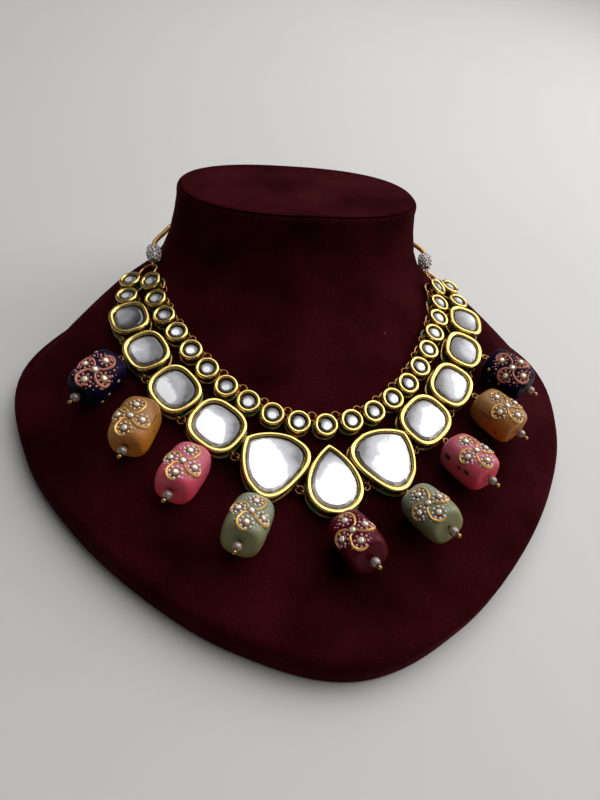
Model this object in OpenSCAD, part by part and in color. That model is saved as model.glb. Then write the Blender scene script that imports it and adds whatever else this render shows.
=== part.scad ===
// Kundan necklace laid on a plain low velvet neck bust.
// Millimetres, +Z up, the bust's front towards -Y.
// The origin is under the middle of the bust, on the surface that it stands on.
// The right half is worked out, and the left half mirrors it.

/* [Neck bust] */
// Width across the shoulders
bust_w = 220; // [205:1:240]
// Length from the front tip to the back edge
bust_l = 209; // [200:1:225]
// Thickness of the padded rim
rim_h = 11; // [9:0.5:14]
// Radius of the rim's upper edge
rim_round = 4; // [2:0.5:6]
// Radius of the rim's lower edge
foot_round = 1.5; // [0.5:0.5:3]
// Height of the middle of the neck's top
neck_h = 65; // [58:1:75]
// Width of the neck's top
neck_w = 99; // [90:1:106]
// Depth of the neck's top
neck_d = 60; // [50:1:66]
// Distance of the neck's middle behind the bust's middle
neck_back = 67; // [60:1:70]
// Slope of the neck's top, down towards the back, in degrees
neck_tilt = 8; // [0:1:12]
// Radius of the neck's top edge
neck_round = 3; // [1:0.5:5]

/* [Small rounds] */
// Diameter of a small round setting
round_d = 9.1; // [8:0.1:10]
// Height of a small round setting
round_h = 5; // [4:0.1:6]
// Width of its gold lip
round_lip = 1.7; // [1.2:0.1:2]
// Space between two small rounds
round_gap = 0.4; // [0.4:0.1:1]

/* [Large settings] */
// Height of a large setting
setting_h = 5.5; // [4.5:0.1:7]
// Width of its gold lip
lip_w = 2; // [1.5:0.1:2.5]
// Width of the middle pear
pear_w = 20; // [18:0.5:22]
// Length of the middle pear
pear_l = 25.5; // [22:0.5:28]
// Width of a flank pear
flank_w = 25; // [21:0.5:26]
// Length of a flank pear
flank_l = 23.5; // [21:0.5:26]
// Size of the first cushion along the row
cushion_w = 20; // [18:0.5:22]
// Size of the first cushion across the row
cushion_l = 18.5; // [17:0.5:21]
// Size of each cushion as a share of the one before it
cushion_step = 0.93; // [0.9:0.01:0.98]
// Length by which the flank pears nest beside the middle pear's narrow end
pear_nest = 0.9; // [0:0.1:2.5]
// Space between two settings of the outer row
setting_gap = 0.6; // [0.4:0.1:1.5]

/* [Collets and stones] */
// Height of the flange at a setting's foot
flange_h = 1.1; // [0.8:0.1:1.6]
// Height of the lip round a setting's top
lip_h = 1.7; // [1.2:0.1:2.2]
// Depth of the waist between flange and lip
waist_in = 0.7; // [0.3:0.1:1]
// Width of the bevel on a setting's edges
edge = 0.4; // [0.2:0.1:0.6]
// Depth of a stone's seat below the lip
seat_depth = 1.8; // [1.4:0.1:2.2]
// Depth of a stone's table below the lip
table_depth = 0.4; // [0.2:0.1:0.8]
// Height of a stone's bevelled crown
crown_h = 0.9; // [0.5:0.1:1]
// Width of the bevel round a large stone's table
bevel_w = 2; // [1:0.1:3]
// Width of the bevel round a small stone's table
round_bevel_w = 1; // [0.5:0.1:1.5]
// Space round a stone in its seat
stone_gap = 0.12; // [0.1:0.01:0.2]

/* [Drops] */
// Length of a tumbled bead
bead_l = 17.5; // [15:0.5:19]
// Thickness of a tumbled bead
bead_w = 13.5; // [11:0.5:16]
// Thickness of a tumbled bead at its ends
bead_end_w = 9; // [6:0.5:10]
// Diameter of the hole through a bead or pearl
bore_d = 1.3; // [1.2:0.1:1.6]
// Diameter of a pearl
pearl_d = 3.2; // [3:0.1:4]
// Diameter of a headpin's wire
pin_d = 0.6; // [0.5:0.05:0.8]
// Diameter of a headpin's loop, measured to the middle of its wire
loop_d = 2.2; // [2:0.1:2.8]
// Diameter of the ball that ends a headpin
ball_d = 1.6; // [1.4:0.1:2]

/* [Wire rings] */
// Diameter of the wire of the rings that join the settings
link_wire_d = 0.5; // [0.4:0.05:0.7]
// Diameter of the wire of the eyes
wire_d = 0.55; // [0.5:0.05:0.8]
// Diameter of an eye, measured to the middle of its wire
eye_d = 1.9; // [1.7:0.05:2.2]
// Distance from a wall to the eye that a short post holds beside it
eye_off = 0.2; // [0.1:0.05:0.4]
// Distance from a wall to the eye at the end of a row
end_eye_off = 0.8; // [0.5:0.1:1.2]

/* [Ends] */
// Diameter of the ring that gathers the two rows, measured to the middle of its wire
end_ring_d = 8; // [7:0.5:10]
// Diameter of that ring's wire
end_wire_d = 0.7; // [0.6:0.05:0.8]
// Length of a seed-bead knot
knot_l = 7; // [6:0.5:10]
// Thickness of a seed-bead knot
knot_d = 6.5; // [5:0.5:8]
// Diameter of the gold cord
dori_d = 2; // [1.5:0.1:2.5]
// Length of the slide bead behind the neck
slide_l = 12; // [9:0.5:15]
// Diameter of the slide bead
slide_d = 5.5; // [4.5:0.5:7]

/* [Clearances] */
// Space between a piece and the bust that it lies on
lie_gap = 0.3; // [0.2:0.05:0.5]
// Space between pieces on one wire
pin_gap = 0.3; // [0.2:0.05:0.5]

/* [Hidden] */
// Points round the bust, a large setting, a small stone and a bead
bust_sides = 48;
setting_sides = 28;
stone_sides = 10;
bead_sides = 14;
// Half turns of wire rings are cut into this many sides
ring_sides = 16;
wire_sides = 6;

// Rim outline: the share of the bust's half size, every 20 degrees from the tip round to the back
RIM_TURN = 20;
RIM = [1, 0.945, 0.9, 0.905, 0.955, 1.008, 0.955, 0.945, 0.98, 1];

// Height of the bust's surface, from the rim in to the neck:
// [share of the way in, then the share of the rise at the front, at the sides, at the back]
SURFACE = [
    [0,    0,     0,     0],
    [0.1,  0.005, 0.06,  0.03],
    [0.2,  0.01,  0.13,  0.07],
    [0.3,  0.025, 0.195, 0.12],
    [0.4,  0.06,  0.255, 0.18],
    [0.5,  0.135, 0.305, 0.24],
    [0.6,  0.235, 0.33,  0.29],
    [0.7,  0.345, 0.35,  0.34],
    [0.8,  0.45,  0.395, 0.4],
    [0.88, 0.54,  0.475, 0.48],
    [0.94, 0.64,  0.6,   0.6],
    [0.98, 0.77,  0.77,  0.77],
    [1,    0.9,   0.9,   0.9]];
surface_rows = len(SURFACE) - 1;

// Middle lines of the two rows on the right half, seen from above, from the middle outwards
INNER_ROUTE = [[0, -25], [17.5, -20.5], [32.5, -10.3], [43, 2.2], [52.3, 18.5], [56.5, 30], [57.5, 40]];
OUTER_ROUTE = [[0, -44.5], [19, -37.5], [36.7, -24.3], [50, -11.2], [60.5, 6], [67.5, 25], [67.8, 38], [65.3, 50]];
rounds_a_side = 10;
cushions_a_side = 4;
end_rounds_a_side = 2;

// The gold cord's own points on the right half, from the knot to the slide bead
DORI_ROUTE = [[58.9, 57, 39.2], [58.8, 60.2, 41.1], [56.9, 64.6, 41.4], [55.2, 69, 40.5],
    [52.6, 75.2, 39.9], [48.2, 81.6, 39.8], [40.2, 88.4, 40.7], [30.3, 93.5, 42.3], [19.9, 96.7, 44.1],
    [12.5, 98.8, 45.4], [6.5, 100.3, 45.9], [1.5, 100.4, 46]];
dori_sides = 8;
dori_steps = 3;
slide_c = [0, DORI_ROUTE[len(DORI_ROUTE) - 1].y, DORI_ROUTE[len(DORI_ROUTE) - 1].z];

// Curves
function cubic(a, b, c, d, t) =
    0.5 * (2 * b + (c - a) * t + (2 * a - 5 * b + 4 * c - d) * t * t + (3 * b - a - 3 * c + d) * t * t * t);
function unit(v) = v / norm(v);

// Bust: outline, rings and surface, with every angle taken from the front tip
function rim_at(i) = RIM[i < 0 ? -i : i > 9 ? 18 - i : i];
function rim_share(a) =
    let (f = abs(a) / RIM_TURN, i = min(floor(f), 8))
    cubic(rim_at(i - 1), rim_at(i), rim_at(i + 1), rim_at(i + 2), f - i);
rim_reach = max([for (a = [80 : 2 : 120]) rim_share(a) * sin(a)]);
function rim_r(a) =
    let (u = [sin(a) * 2 * rim_reach / bust_w, cos(a) * 2 / bust_l])
    rim_share(atan2(u.x, u.y)) / norm(u);
neck_square = 2.3;
function neck_r(a) =
    pow(pow(abs(sin(a)) * 2 / neck_w, neck_square) + pow(abs(cos(a)) * 2 / neck_d, neck_square), -1 / neck_square);
function rise(a) = neck_h - rim_h + tan(neck_tilt) * neck_r(a) * cos(a);

function row_value(p, column) =
    let (i = min(floor(p), surface_rows - 1))
    SURFACE[i][column] + (SURFACE[i + 1][column] - SURFACE[i][column]) * (p - i);
function ring_r(p, a) =
    let (s = row_value(p, 0))
    (1 - s) * (rim_r(a) - rim_round) + s * neck_r(a);
function ring_z(p, a) =
    let (w = pow(cos(a), 2))
    rim_h + rise(a) * (w * row_value(p, cos(a) > 0 ? 1 : 3) + (1 - w) * row_value(p, 2));
function ring_y(p) = row_value(p, 0) * neck_back;

function way_in(x, y, low = 0, high = surface_rows, turns = 12) =
    let (mid = (low + high) / 2, a = atan2(x, ring_y(mid) - y))
    turns == 0 ? mid
    : norm([x, y - ring_y(mid)]) < ring_r(mid, a) ? way_in(x, y, mid, high, turns - 1)
    : way_in(x, y, low, mid, turns - 1);
function surface_z(x, y) =
    let (p = way_in(x, y))
    ring_z(p, atan2(x, ring_y(p) - y));

// Lofts: rings of points, counter-clockwise seen from above, from the bottom up
function loft_faces(rings, n) = concat(
    [[for (i = [0 : n - 1]) i]],
    [for (k = [0 : rings - 2], i = [0 : n - 1])
        let (a = k * n + i, b = k * n + (i + 1) % n)
        [a, a + n, b + n, b]],
    [[for (i = [n - 1 : -1 : 0]) (rings - 1) * n + i]]);
module loft(rings) {
    polyhedron([for (ring = rings, p = ring) p], loft_faces(len(rings), len(rings[0])), convexity = 6);
}

// Outlines of the large settings, about their middle
pear_point = 0.7;
flank_square = 0.78;
cushion_square = 2.7;
function sign_pow(v, e) = sign(v) * pow(abs(v), e);
function pear(w, l, square = 1) =
    let (
        turns = [for (i = [0 : setting_sides - 1]) i * 360 / setting_sides],
        wide = [for (t = turns) sign_pow(sin(t), square) * pow(abs(sin(t / 2)), pear_point)],
        widest = max(wide))
    [for (i = [setting_sides : -1 : 1])
        let (k = i % setting_sides, c = cos(turns[k]))
        [wide[k] / widest * w / 2, (c > 0 ? c : sign_pow(c, square)) * l / 2]];
function cushion(w, l) =
    [for (i = [0 : setting_sides - 1])
        let (t = i * 360 / setting_sides)
        [sign_pow(cos(t), 2 / cushion_square) * w / 2, sign_pow(sin(t), 2 / cushion_square) * l / 2]];
function turned(points, a) =
    [for (p = points) [p.x * cos(a) - p.y * sin(a), p.x * sin(a) + p.y * cos(a)]];
function inset(points, d) =
    let (
        w = max([for (p = points) p.x]) - min([for (p = points) p.x]),
        l = max([for (p = points) p.y]) - min([for (p = points) p.y]))
    [for (p = points) [p.x * (1 - 2 * d / w), p.y * (1 - 2 * d / l)]];
function raised(points, z) = [for (p = points) [p.x, p.y, z]];

// Heights and insets of a setting's wall, from its foot up over the lip and down to the stone's seat
function wall_rows(h, lip) = [
    [0, edge],
    [edge, 0],
    [flange_h, 0],
    [flange_h + edge, waist_in],
    [h - lip_h - edge, waist_in],
    [h - lip_h, edge / 2],
    [h - edge, edge / 2],
    [h, edge * 1.5],
    [h, lip - edge / 2],
    [h - seat_depth, lip]];
function stone_rows(h, lip, bevel) = [
    [h - seat_depth + stone_gap, lip + stone_gap],
    [h - table_depth - crown_h, lip + stone_gap],
    [h - table_depth, lip + bevel]];

// Places on a row: a middle line seen from above, followed over the bust's surface
function route_at(route, i) =
    let (n = len(route) - 1)
    i < 0 ? [-route[-i].x, route[-i].y]
    : i > n ? 2 * route[n] - route[2 * n - i]
    : route[i];
function route_xy(route, u) =
    let (i = floor(u))
    cubic(route_at(route, i - 1), route_at(route, i), route_at(route, i + 1), route_at(route, i + 2), u - i);
function route_turn(route, u) =
    let (d = route_xy(route, u + 0.05) - route_xy(route, u - 0.05))
    atan2(d.y, d.x);
function on_bust(p) = [p.x, p.y, surface_z(p.x, p.y)];
march_step = 0.05;
function march(route, u, left) =
    let (d = norm(on_bust(route_xy(route, u + march_step)) - on_bust(route_xy(route, u))))
    d >= left ? u + march_step * left / d : march(route, u + march_step, left - d);
function places(route, steps, u = 0, i = 0) =
    i == len(steps) ? [u] : concat([u], places(route, steps, march(route, u, steps[i]), i + 1));

// A seat lies flat on the bust, as low as its footprint allows: [corner, x, y, z]
function seat(route, u, half_w, half_l) =
    let (
        c = route_xy(route, u),
        turn = route_turn(route, u),
        along = [cos(turn), sin(turn)],
        across = [-sin(turn), cos(turn)],
        rise_x = (surface_z((c + along * half_w).x, (c + along * half_w).y)
            - surface_z((c - along * half_w).x, (c - along * half_w).y)) / 2 / half_w,
        rise_y = (surface_z((c + across * half_l).x, (c + across * half_l).y)
            - surface_z((c - across * half_l).x, (c - across * half_l).y)) / 2 / half_l,
        x = unit([along.x, along.y, rise_x]),
        z = unit(cross(x, [across.x, across.y, rise_y])),
        y = cross(z, x),
        bumps = [for (a = [0 : 30 : 330], f = [0.5, 1])
            let (q = c + f * (along * half_w * cos(a) + across * half_l * sin(a)))
            (on_bust(q) - on_bust(c)) * z])
    [on_bust(c) + z * (lie_gap + max(0, max(bumps))), x, y, z];
function at(s, p) = s[0] + s[1] * p[0] + s[2] * p[1] + s[3] * p[2];
module lay(s) {
    multmatrix([
        [s[1].x, s[2].x, s[3].x, s[0].x],
        [s[1].y, s[2].y, s[3].y, s[0].y],
        [s[1].z, s[2].z, s[3].z, s[0].z]])
        children();
}
// A frame whose x axis runs along one direction and whose z axis leans to another
function frame_along(c, x, up) =
    let (z = unit(up - x * (up * x)))
    [c, x, cross(z, x), z];

// Inner row
round_r = round_d / 2;
round_reach = round_d + round_gap;
inner_places = places(INNER_ROUTE, [for (i = [1 : rounds_a_side]) round_reach]);
inner_seats = [for (u = inner_places) seat(INNER_ROUTE, u, round_r, round_r)];

// Outer row: outline of each large setting from the middle outwards
flank_turn = -74;
function shrunk(size, k) = size * pow(cushion_step, k);
outer_outlines = concat(
    [pear(pear_w, pear_l), turned(pear(flank_w, flank_l, flank_square), flank_turn)],
    [for (k = [0 : cushions_a_side - 1]) cushion(shrunk(cushion_w, k), shrunk(cushion_l, k))]);
function reach_out(i) = i < len(outer_outlines) ? max([for (p = outer_outlines[i]) p.x]) : round_r;
function reach_in(i) = i < len(outer_outlines) ? -min([for (p = outer_outlines[i]) p.x]) : round_r;
function reach_down(i) = i < len(outer_outlines) ? -min([for (p = outer_outlines[i]) p.y]) : round_r;
outer_count = len(outer_outlines) + end_rounds_a_side;
outer_places = places(OUTER_ROUTE,
    [for (i = [1 : outer_count - 1])
        reach_out(i - 1) + reach_in(i) + (i < len(outer_outlines) ? setting_gap : round_gap) - (i == 1 ? pear_nest : 0)]);
outer_seats = [for (i = [0 : outer_count - 1])
    seat(OUTER_ROUTE, outer_places[i], (reach_in(i) + reach_out(i)) / 2, reach_down(i))];

// Wire: rings in a frame's x-y plane, and the eyes that are soldered to the walls
function waist(points) = inset(points, waist_in);
round_outline = [for (i = [0 : setting_sides - 1])
    round_r * [cos(i * 360 / setting_sides), sin(i * 360 / setting_sides)]];
function outline_of(i) = i < len(outer_outlines) ? outer_outlines[i] : round_outline;
function height_of(i) = i < len(outer_outlines) ? setting_h : round_h;
function crossings(points, y) =
    [for (i = [0 : len(points) - 1])
        let (p = points[i], q = points[(i + 1) % len(points)])
        if ((p.y - y) * (q.y - y) <= 0 && p.y != q.y) p.x + (q.x - p.x) * (y - p.y) / (q.y - p.y)];
function wall_x(points, y, side) = side > 0 ? max(crossings(points, y)) : min(crossings(points, y));
function groove_z(h) = (flange_h + h - lip_h) / 2;
eye_reach = eye_d / 2 + wire_d / 2 + eye_off;
end_eye_reach = eye_reach - eye_off + end_eye_off;
post_sunk = 0.4;
function side_eye(s, points, h, y, side, reach = eye_reach) =
    at(s, [wall_x(waist(points), y, side) + side * reach, y, groove_z(h)]);

// A link joins two neighbours where their walls have drawn far enough apart: [eye, eye, ring's frame]
link_min_d = eye_d + wire_d + pin_gap;
link_step = 0.1;
function link(s, ps, hs, t, pt, ht, way, y) =
    let (a = side_eye(s, ps, hs, y, 1), b = side_eye(t, pt, ht, y, -1))
    (b - a) * s[1] > 0 && norm(b - a) >= link_min_d
        ? [a, b, frame_along((a + b) / 2, unit(b - a), unit(s[3] + t[3]))]
        : link(s, ps, hs, t, pt, ht, way, y + way * link_step);
inner_links = [for (i = [0 : rounds_a_side - 1])
    link(inner_seats[i], round_outline, round_h, inner_seats[i + 1], round_outline, round_h, 1, 0)];
outer_links = [for (i = [0 : outer_count - 2])
    link(outer_seats[i], outline_of(i), height_of(i), outer_seats[i + 1], outline_of(i + 1), height_of(i + 1), -1, 0)];

// Share of a knot's length that its loop's shank reaches into it
shank_share = 0.3;
// The end ring runs through the last eye of each row, and through the knot's loop beyond them
end_eye_shift = 1.5;
end_eye_in = side_eye(inner_seats[rounds_a_side], round_outline, round_h, -end_eye_shift, 1, end_eye_reach);
end_eye_out = side_eye(outer_seats[outer_count - 1], round_outline, round_h, end_eye_shift, 1, end_eye_reach);
end_across = unit(end_eye_out - end_eye_in);
end_up = unit(inner_seats[rounds_a_side][3] + outer_seats[outer_count - 1][3]);
end_frame = frame_along(
    (end_eye_in + end_eye_out) / 2
        + unit(cross(end_up, end_across)) * sqrt(pow(end_ring_d / 2, 2) - pow(norm(end_eye_out - end_eye_in) / 2, 2)),
    end_across, end_up);
end_loop_c = end_frame[0] + end_frame[2] * end_ring_d / 2;
knot_way = unit(DORI_ROUTE[0] - end_loop_c);
knot_from = eye_d / 2 + wire_d / 2 + pin_gap;
knot_mid = end_loop_c + knot_way * (knot_from + knot_l / 2);

// Drops on the right half: place of its setting in the outer row, place of the eye along that setting's foot,
// [swing and roll of the drop on the right], [swing and roll of the drop on the left]
DROPS = [
    [1, -3, [-14, 26], [-8, 4]],
    [2, -1, [-18, 2], [-15, 2]],
    [3, 1.5, [-26, 4], [-35, -5]],
    [4, 1.5, [-33, 26], [-27, 14]]];
MIDDLE_SWING = 14;
MIDDLE_ROLL = 23;
bead_from = loop_d / 2 + pin_d / 2 + pin_gap;
bead_mid = bead_from + bead_l / 2;
pearl_mid = bead_from + bead_l + pin_gap + pearl_d / 2;
ball_mid = pearl_mid + pearl_d / 2 + ball_d / 2;
function bead_r(t) =
    bead_end_w / 2 + (bead_w - bead_end_w) / 2 * pow(1 - pow(abs(t), bead_swell), bead_corner);

// Shape of a bead along its length and round it
bead_swell = 4;
bead_corner = 0.5;
bead_square = 2.8;
// Least space under a resting bead, as a share of the space under the rest
bead_rest = 1.5;
function drop_eye_c(i, along) =
    let (foot = min(crossings([for (p = outline_of(i)) [p.y, p.x]], along)))
    at(outer_seats[i], [along, foot + edge / 2 - eye_reach, height_of(i) - lip_h / 2]);

// A drop: [eye, frame of its headpin, whose z axis is the pin and whose origin is the middle of its loop]
function drop(i, along, swing, roll) =
    let (
        s = outer_seats[i],
        way = [sin(swing), -cos(swing)],
        eye = drop_eye_c(i, along),
        flat = unit([for (k = [0 : 2]) k < 2 ? s[1][k] * way.x + s[2][k] * way.y : 0]),
        middle = eye + loop_d / 2 * flat,
        lean = resting_lean(middle, flat, roll, -15, 60))
    [eye, pin_frame(middle, flat, lean)];
function pin_frame(c, flat, lean) =
    let (z = flat * cos(lean) + [0, 0, sin(lean)], x = unit(cross([0, 0, 1], z)))
    [c, x, cross(z, x), z];
function bead_reach(t, a) =
    bead_r(t) * pow(pow(abs(cos(a)), bead_square) + pow(abs(sin(a)), bead_square), -1 / bead_square);
function drop_clearance(f, roll) = min([for (t = [-0.9, -0.5, 0, 0.5, 0.9], a = [-60 : 30 : 60])
    let (p = at(f, [bead_reach(t, a - roll) * sin(a), -bead_reach(t, a - roll) * cos(a), bead_mid + t * bead_l / 2]))
    p.z - surface_z(p.x, p.y)]);
function resting_lean(c, flat, roll, low, high, turns = 7) =
    let (mid = (low + high) / 2)
    turns == 0 ? mid
    : drop_clearance(pin_frame(c, flat, mid), roll) < lie_gap * bead_rest
        ? resting_lean(c, flat, roll, mid, high, turns - 1)
        : resting_lean(c, flat, roll, low, mid, turns - 1);

// Colours
GOLD = [0.83, 0.62, 0.22];
GLASS = [0.86, 0.87, 0.88];
VELVET = [0.25, 0.03, 0.06];

module bust() {
    angles = [for (i = [0 : bust_sides - 1]) i * 360 / bust_sides];
    function level(dy, z, radii) =
        [for (i = [0 : bust_sides - 1])
            let (a = angles[i])
            [radii[i] * sin(a), dy - radii[i] * cos(a), z[i]]];
    function rim_level(z, d) = level(0, [for (a = angles) z], [for (a = angles) rim_r(a) - d]);
    function top_level(drop, d) =
        let (r = [for (a = angles) neck_r(a) - d])
        level(neck_back, [for (i = [0 : bust_sides - 1]) neck_h - drop + tan(neck_tilt) * r[i] * cos(angles[i])], r);
    color(VELVET)
        loft(concat(
            [rim_level(0, foot_round),
                rim_level(foot_round, 0),
                rim_level(rim_h - rim_round, 0),
                rim_level(rim_h - rim_round * (1 - sin(45)), rim_round * (1 - cos(45)))],
            [for (p = [0 : surface_rows])
                level(ring_y(p), [for (a = angles) ring_z(p, a)], [for (a = angles) ring_r(p, a)])],
            [top_level(neck_round, 0),
                top_level(neck_round * (1 - sin(45)), neck_round * (1 - cos(45))),
                top_level(0, neck_round)]));
}

// Settings: a flanged wall with a lip, and the stone's seat inside it
module wall(points, h, lip) {
    loft([for (row = wall_rows(h, lip)) raised(inset(points, row[1]), row[0])]);
}
module round_wall() {
    rotate_extrude($fn = 4 * ring_sides)
        polygon(concat(
            [[0, 0]],
            [for (row = wall_rows(round_h, round_lip)) [round_r - row[1], row[0]]],
            [[0, round_h - seat_depth]]));
}
module stone(points, h, lip, bevel) {
    color(GLASS) loft([for (row = stone_rows(h, lip, bevel)) raised(inset(points, row[1]), row[0])]);
}
module round_stone() {
    stone([for (i = [0 : stone_sides - 1]) round_r * [cos(i * 360 / stone_sides), sin(i * 360 / stone_sides)]],
        round_h, round_lip, round_bevel_w);
}
module wire_ring(frame, d, wire) {
    lay(frame) rotate_extrude($fn = ring_sides) translate([d / 2, 0]) circle(d = wire, $fn = wire_sides);
}
// A short post solders an eye to the wall that it stands beside
module post(c, from, into, s, reach) {
    lay(frame_along(from, into, s[3])) rotate([0, 90, 0])
        cylinder(d = wire_d, h = reach + post_sunk - (from - c) * into, $fn = ring_sides);
}
// An eye stands across the link that runs through it
module link_eye(s, l, side) {
    wire_ring(frame_along(l[side], l[2][1], l[2][2]), eye_d, wire_d);
    out = unit(l[side] - l[2][0]);
    post(l[side], l[side] + out * eye_d / 2, side == 0 ? -s[1] : s[1], s, eye_reach);
}
module end_eye(s, c) {
    out = unit(c - end_frame[0]);
    wire_ring(frame_along(c, out, cross(end_frame[3], out)), eye_d, wire_d);
    post(c, c + out * eye_d / 2, -s[1], s, end_eye_reach);
}
module both_halves() {
    children();
    mirror([1, 0, 0]) children();
}

module inner_half(i) {
    lay(inner_seats[i]) round_wall();
    if (i < rounds_a_side) link_eye(inner_seats[i], inner_links[i], 0);
    if (i > 0) link_eye(inner_seats[i], inner_links[i - 1], 1);
    if (i == rounds_a_side) end_eye(inner_seats[i], end_eye_in);
}
module inner_settings() {
    color(GOLD) {
        inner_half(0);
        mirror([1, 0, 0]) link_eye(inner_seats[0], inner_links[0], 0);
        both_halves() for (i = [1 : rounds_a_side]) inner_half(i);
    }
}
module inner_stones() {
    lay(inner_seats[0]) round_stone();
    both_halves() for (i = [1 : rounds_a_side]) lay(inner_seats[i]) round_stone();
}
module inner_rings() {
    color(GOLD) both_halves() for (l = inner_links) wire_ring(l[2], norm(l[1] - l[0]), link_wire_d);
}

module outer_wall(i) {
    lay(outer_seats[i])
        if (i < len(outer_outlines)) wall(outer_outlines[i], setting_h, lip_w);
        else round_wall();
}
module outer_eyes(i) {
    if (i < outer_count - 1) link_eye(outer_seats[i], outer_links[i], 0);
    if (i > 0) link_eye(outer_seats[i], outer_links[i - 1], 1);
    if (i == outer_count - 1) end_eye(outer_seats[i], end_eye_out);
}
module drop_eye(i, along) {
    s = outer_seats[i];
    c = drop_eye_c(i, along);
    wire_ring([c, s[1], s[2], s[3]], eye_d, wire_d);
    post(c, c + s[2] * eye_d / 2, s[2], s, eye_reach);
}
module outer_setting(i) {
    color(GOLD) {
        outer_wall(i);
        outer_eyes(i);
        for (row = DROPS) if (row[0] == i) drop_eye(i, row[1]);
    }
}
module middle_setting() {
    color(GOLD) {
        outer_wall(0);
        outer_eyes(0);
        mirror([1, 0, 0]) outer_eyes(0);
        drop_eye(0, 0);
    }
}
module outer_stone(i) {
    lay(outer_seats[i])
        if (i < len(outer_outlines)) stone(outer_outlines[i], setting_h, lip_w, bevel_w);
        else round_stone();
}
module outer_end_settings() {
    color(GOLD) both_halves() for (i = [len(outer_outlines) : outer_count - 1]) {
        outer_wall(i);
        outer_eyes(i);
    }
}
module outer_end_stones() {
    both_halves() for (i = [len(outer_outlines) : outer_count - 1]) outer_stone(i);
}
module outer_rings() {
    color(GOLD) both_halves() for (l = outer_links) wire_ring(l[2], norm(l[1] - l[0]), link_wire_d);
}

// Drops: a bead and a pearl on a headpin
module bead(f, roll, tint) {
    shares = [-1, -0.92, -0.7, -0.3, 0.3, 0.7, 0.92, 1];
    color(tint) lay(f) translate([0, 0, bead_mid]) rotate([0, 0, roll]) difference() {
        loft([for (t = shares)
            [for (i = [0 : bead_sides - 1])
                let (a = i * 360 / bead_sides)
                [bead_r(t) * sign_pow(cos(a), 2 / bead_square),
                    bead_r(t) * sign_pow(sin(a), 2 / bead_square),
                    t * bead_l / 2]]]);
        cylinder(d = bore_d, h = bead_l + 1, center = true, $fn = ring_sides);
    }
}
module pin(f) {
    color(GOLD) lay(f) {
        rotate([0, 90, 0]) rotate_extrude($fn = ring_sides)
            translate([loop_d / 2, 0]) circle(d = pin_d, $fn = wire_sides);
        translate([0, 0, loop_d / 2]) cylinder(d = pin_d, h = ball_mid - loop_d / 2, $fn = ring_sides);
        translate([0, 0, ball_mid]) sphere(d = ball_d, $fn = ring_sides);
    }
}
module pearl(f) {
    color("ivory") lay(f) translate([0, 0, pearl_mid]) difference() {
        sphere(d = pearl_d, $fn = 2 * ring_sides);
        cylinder(d = bore_d, h = pearl_d + 1, center = true, $fn = ring_sides);
    }
}
middle_drop = drop(0, 0, MIDDLE_SWING, MIDDLE_ROLL);
right_drops = [for (row = DROPS) drop(row[0], row[1], row[2][0], row[2][1])];
left_drops = [for (row = DROPS) drop(row[0], row[1], row[3][0], row[3][1])];

// Ends: gathering ring, knot with its wire loop, gold cord and slide bead
module end_ring() {
    color(GOLD) wire_ring(end_frame, end_ring_d, end_wire_d);
}
module end_loop() {
    f = pin_frame_along(end_loop_c, knot_way, end_frame[3]);
    color(GOLD) {
        wire_ring([f[0], f[3], f[2], -f[1]], eye_d, wire_d);
        lay(f) translate([0, 0, eye_d / 2]) cylinder(d = wire_d, h = knot_from + knot_l * shank_share - eye_d / 2, $fn = ring_sides);
    }
}
function pin_frame_along(c, z, up) =
    let (y = unit(up - z * (up * z)))
    [c, cross(y, z), y, z];
module knot() {
    color("white") lay(pin_frame_along(knot_mid, knot_way, end_frame[3])) difference() {
        rotate_extrude($fn = 2 * ring_sides) intersection() {
            scale([1, knot_l / knot_d]) circle(d = knot_d, $fn = 2 * ring_sides);
            translate([0, -knot_l / 2]) square([knot_d / 2, knot_l]);
        }
        cylinder(d = dori_d + 2 * pin_gap, h = knot_l + 1, center = true, $fn = ring_sides);
    }
}
module dori() {
    n = len(DORI_ROUTE) - 1;
    path = [for (k = [0 : n * dori_steps]) let (i = min(floor(k / dori_steps), n - 1), t = k / dori_steps - i)
        cubic(cord_at(i - 1), cord_at(i), cord_at(i + 1), cord_at(i + 2), t)];
    rings = [for (k = [0 : len(path) - 1])
        let (f = pin_frame_along(path[k], unit(path[min(k + 1, len(path) - 1)] - path[max(k - 1, 0)]), [0, 0, 1]))
        [for (j = [0 : dori_sides - 1])
            let (a = j * 360 / dori_sides)
            at(f, dori_d / 2 * [cos(a), sin(a), 0])]];
    color("goldenrod") loft(rings);
}
function cord_at(i) =
    let (n = len(DORI_ROUTE) - 1)
    i < 0 ? 2 * DORI_ROUTE[0] - DORI_ROUTE[1] : i > n ? 2 * DORI_ROUTE[n] - DORI_ROUTE[n - 1] : DORI_ROUTE[i];
module slide_bead() {
    color(GOLD) translate(slide_c) rotate([0, 90, 0]) difference() {
        cylinder(d = slide_d, h = slide_l, center = true, $fn = 2 * ring_sides);
        cylinder(d = dori_d + 2 * pin_gap, h = slide_l + 1, center = true, $fn = ring_sides);
    }
}

// Names of the nodes, and what each of them draws
SIDES = ["right", "left"];
LARGE = ["flank_pear", "cushion_1", "cushion_2", "cushion_3", "cushion_4"];
TINTS = ["green", "pink", "amber", "navy"];
TINT_COLOURS = [[0.45, 0.5, 0.4], [0.85, 0.35, 0.45], [0.75, 0.45, 0.15], [0.06, 0.05, 0.2]];
MAROON = [0.4, 0.02, 0.08];
module on_side(side) {
    if (side == "right") children();
    else mirror([1, 0, 0]) children();
}

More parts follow.
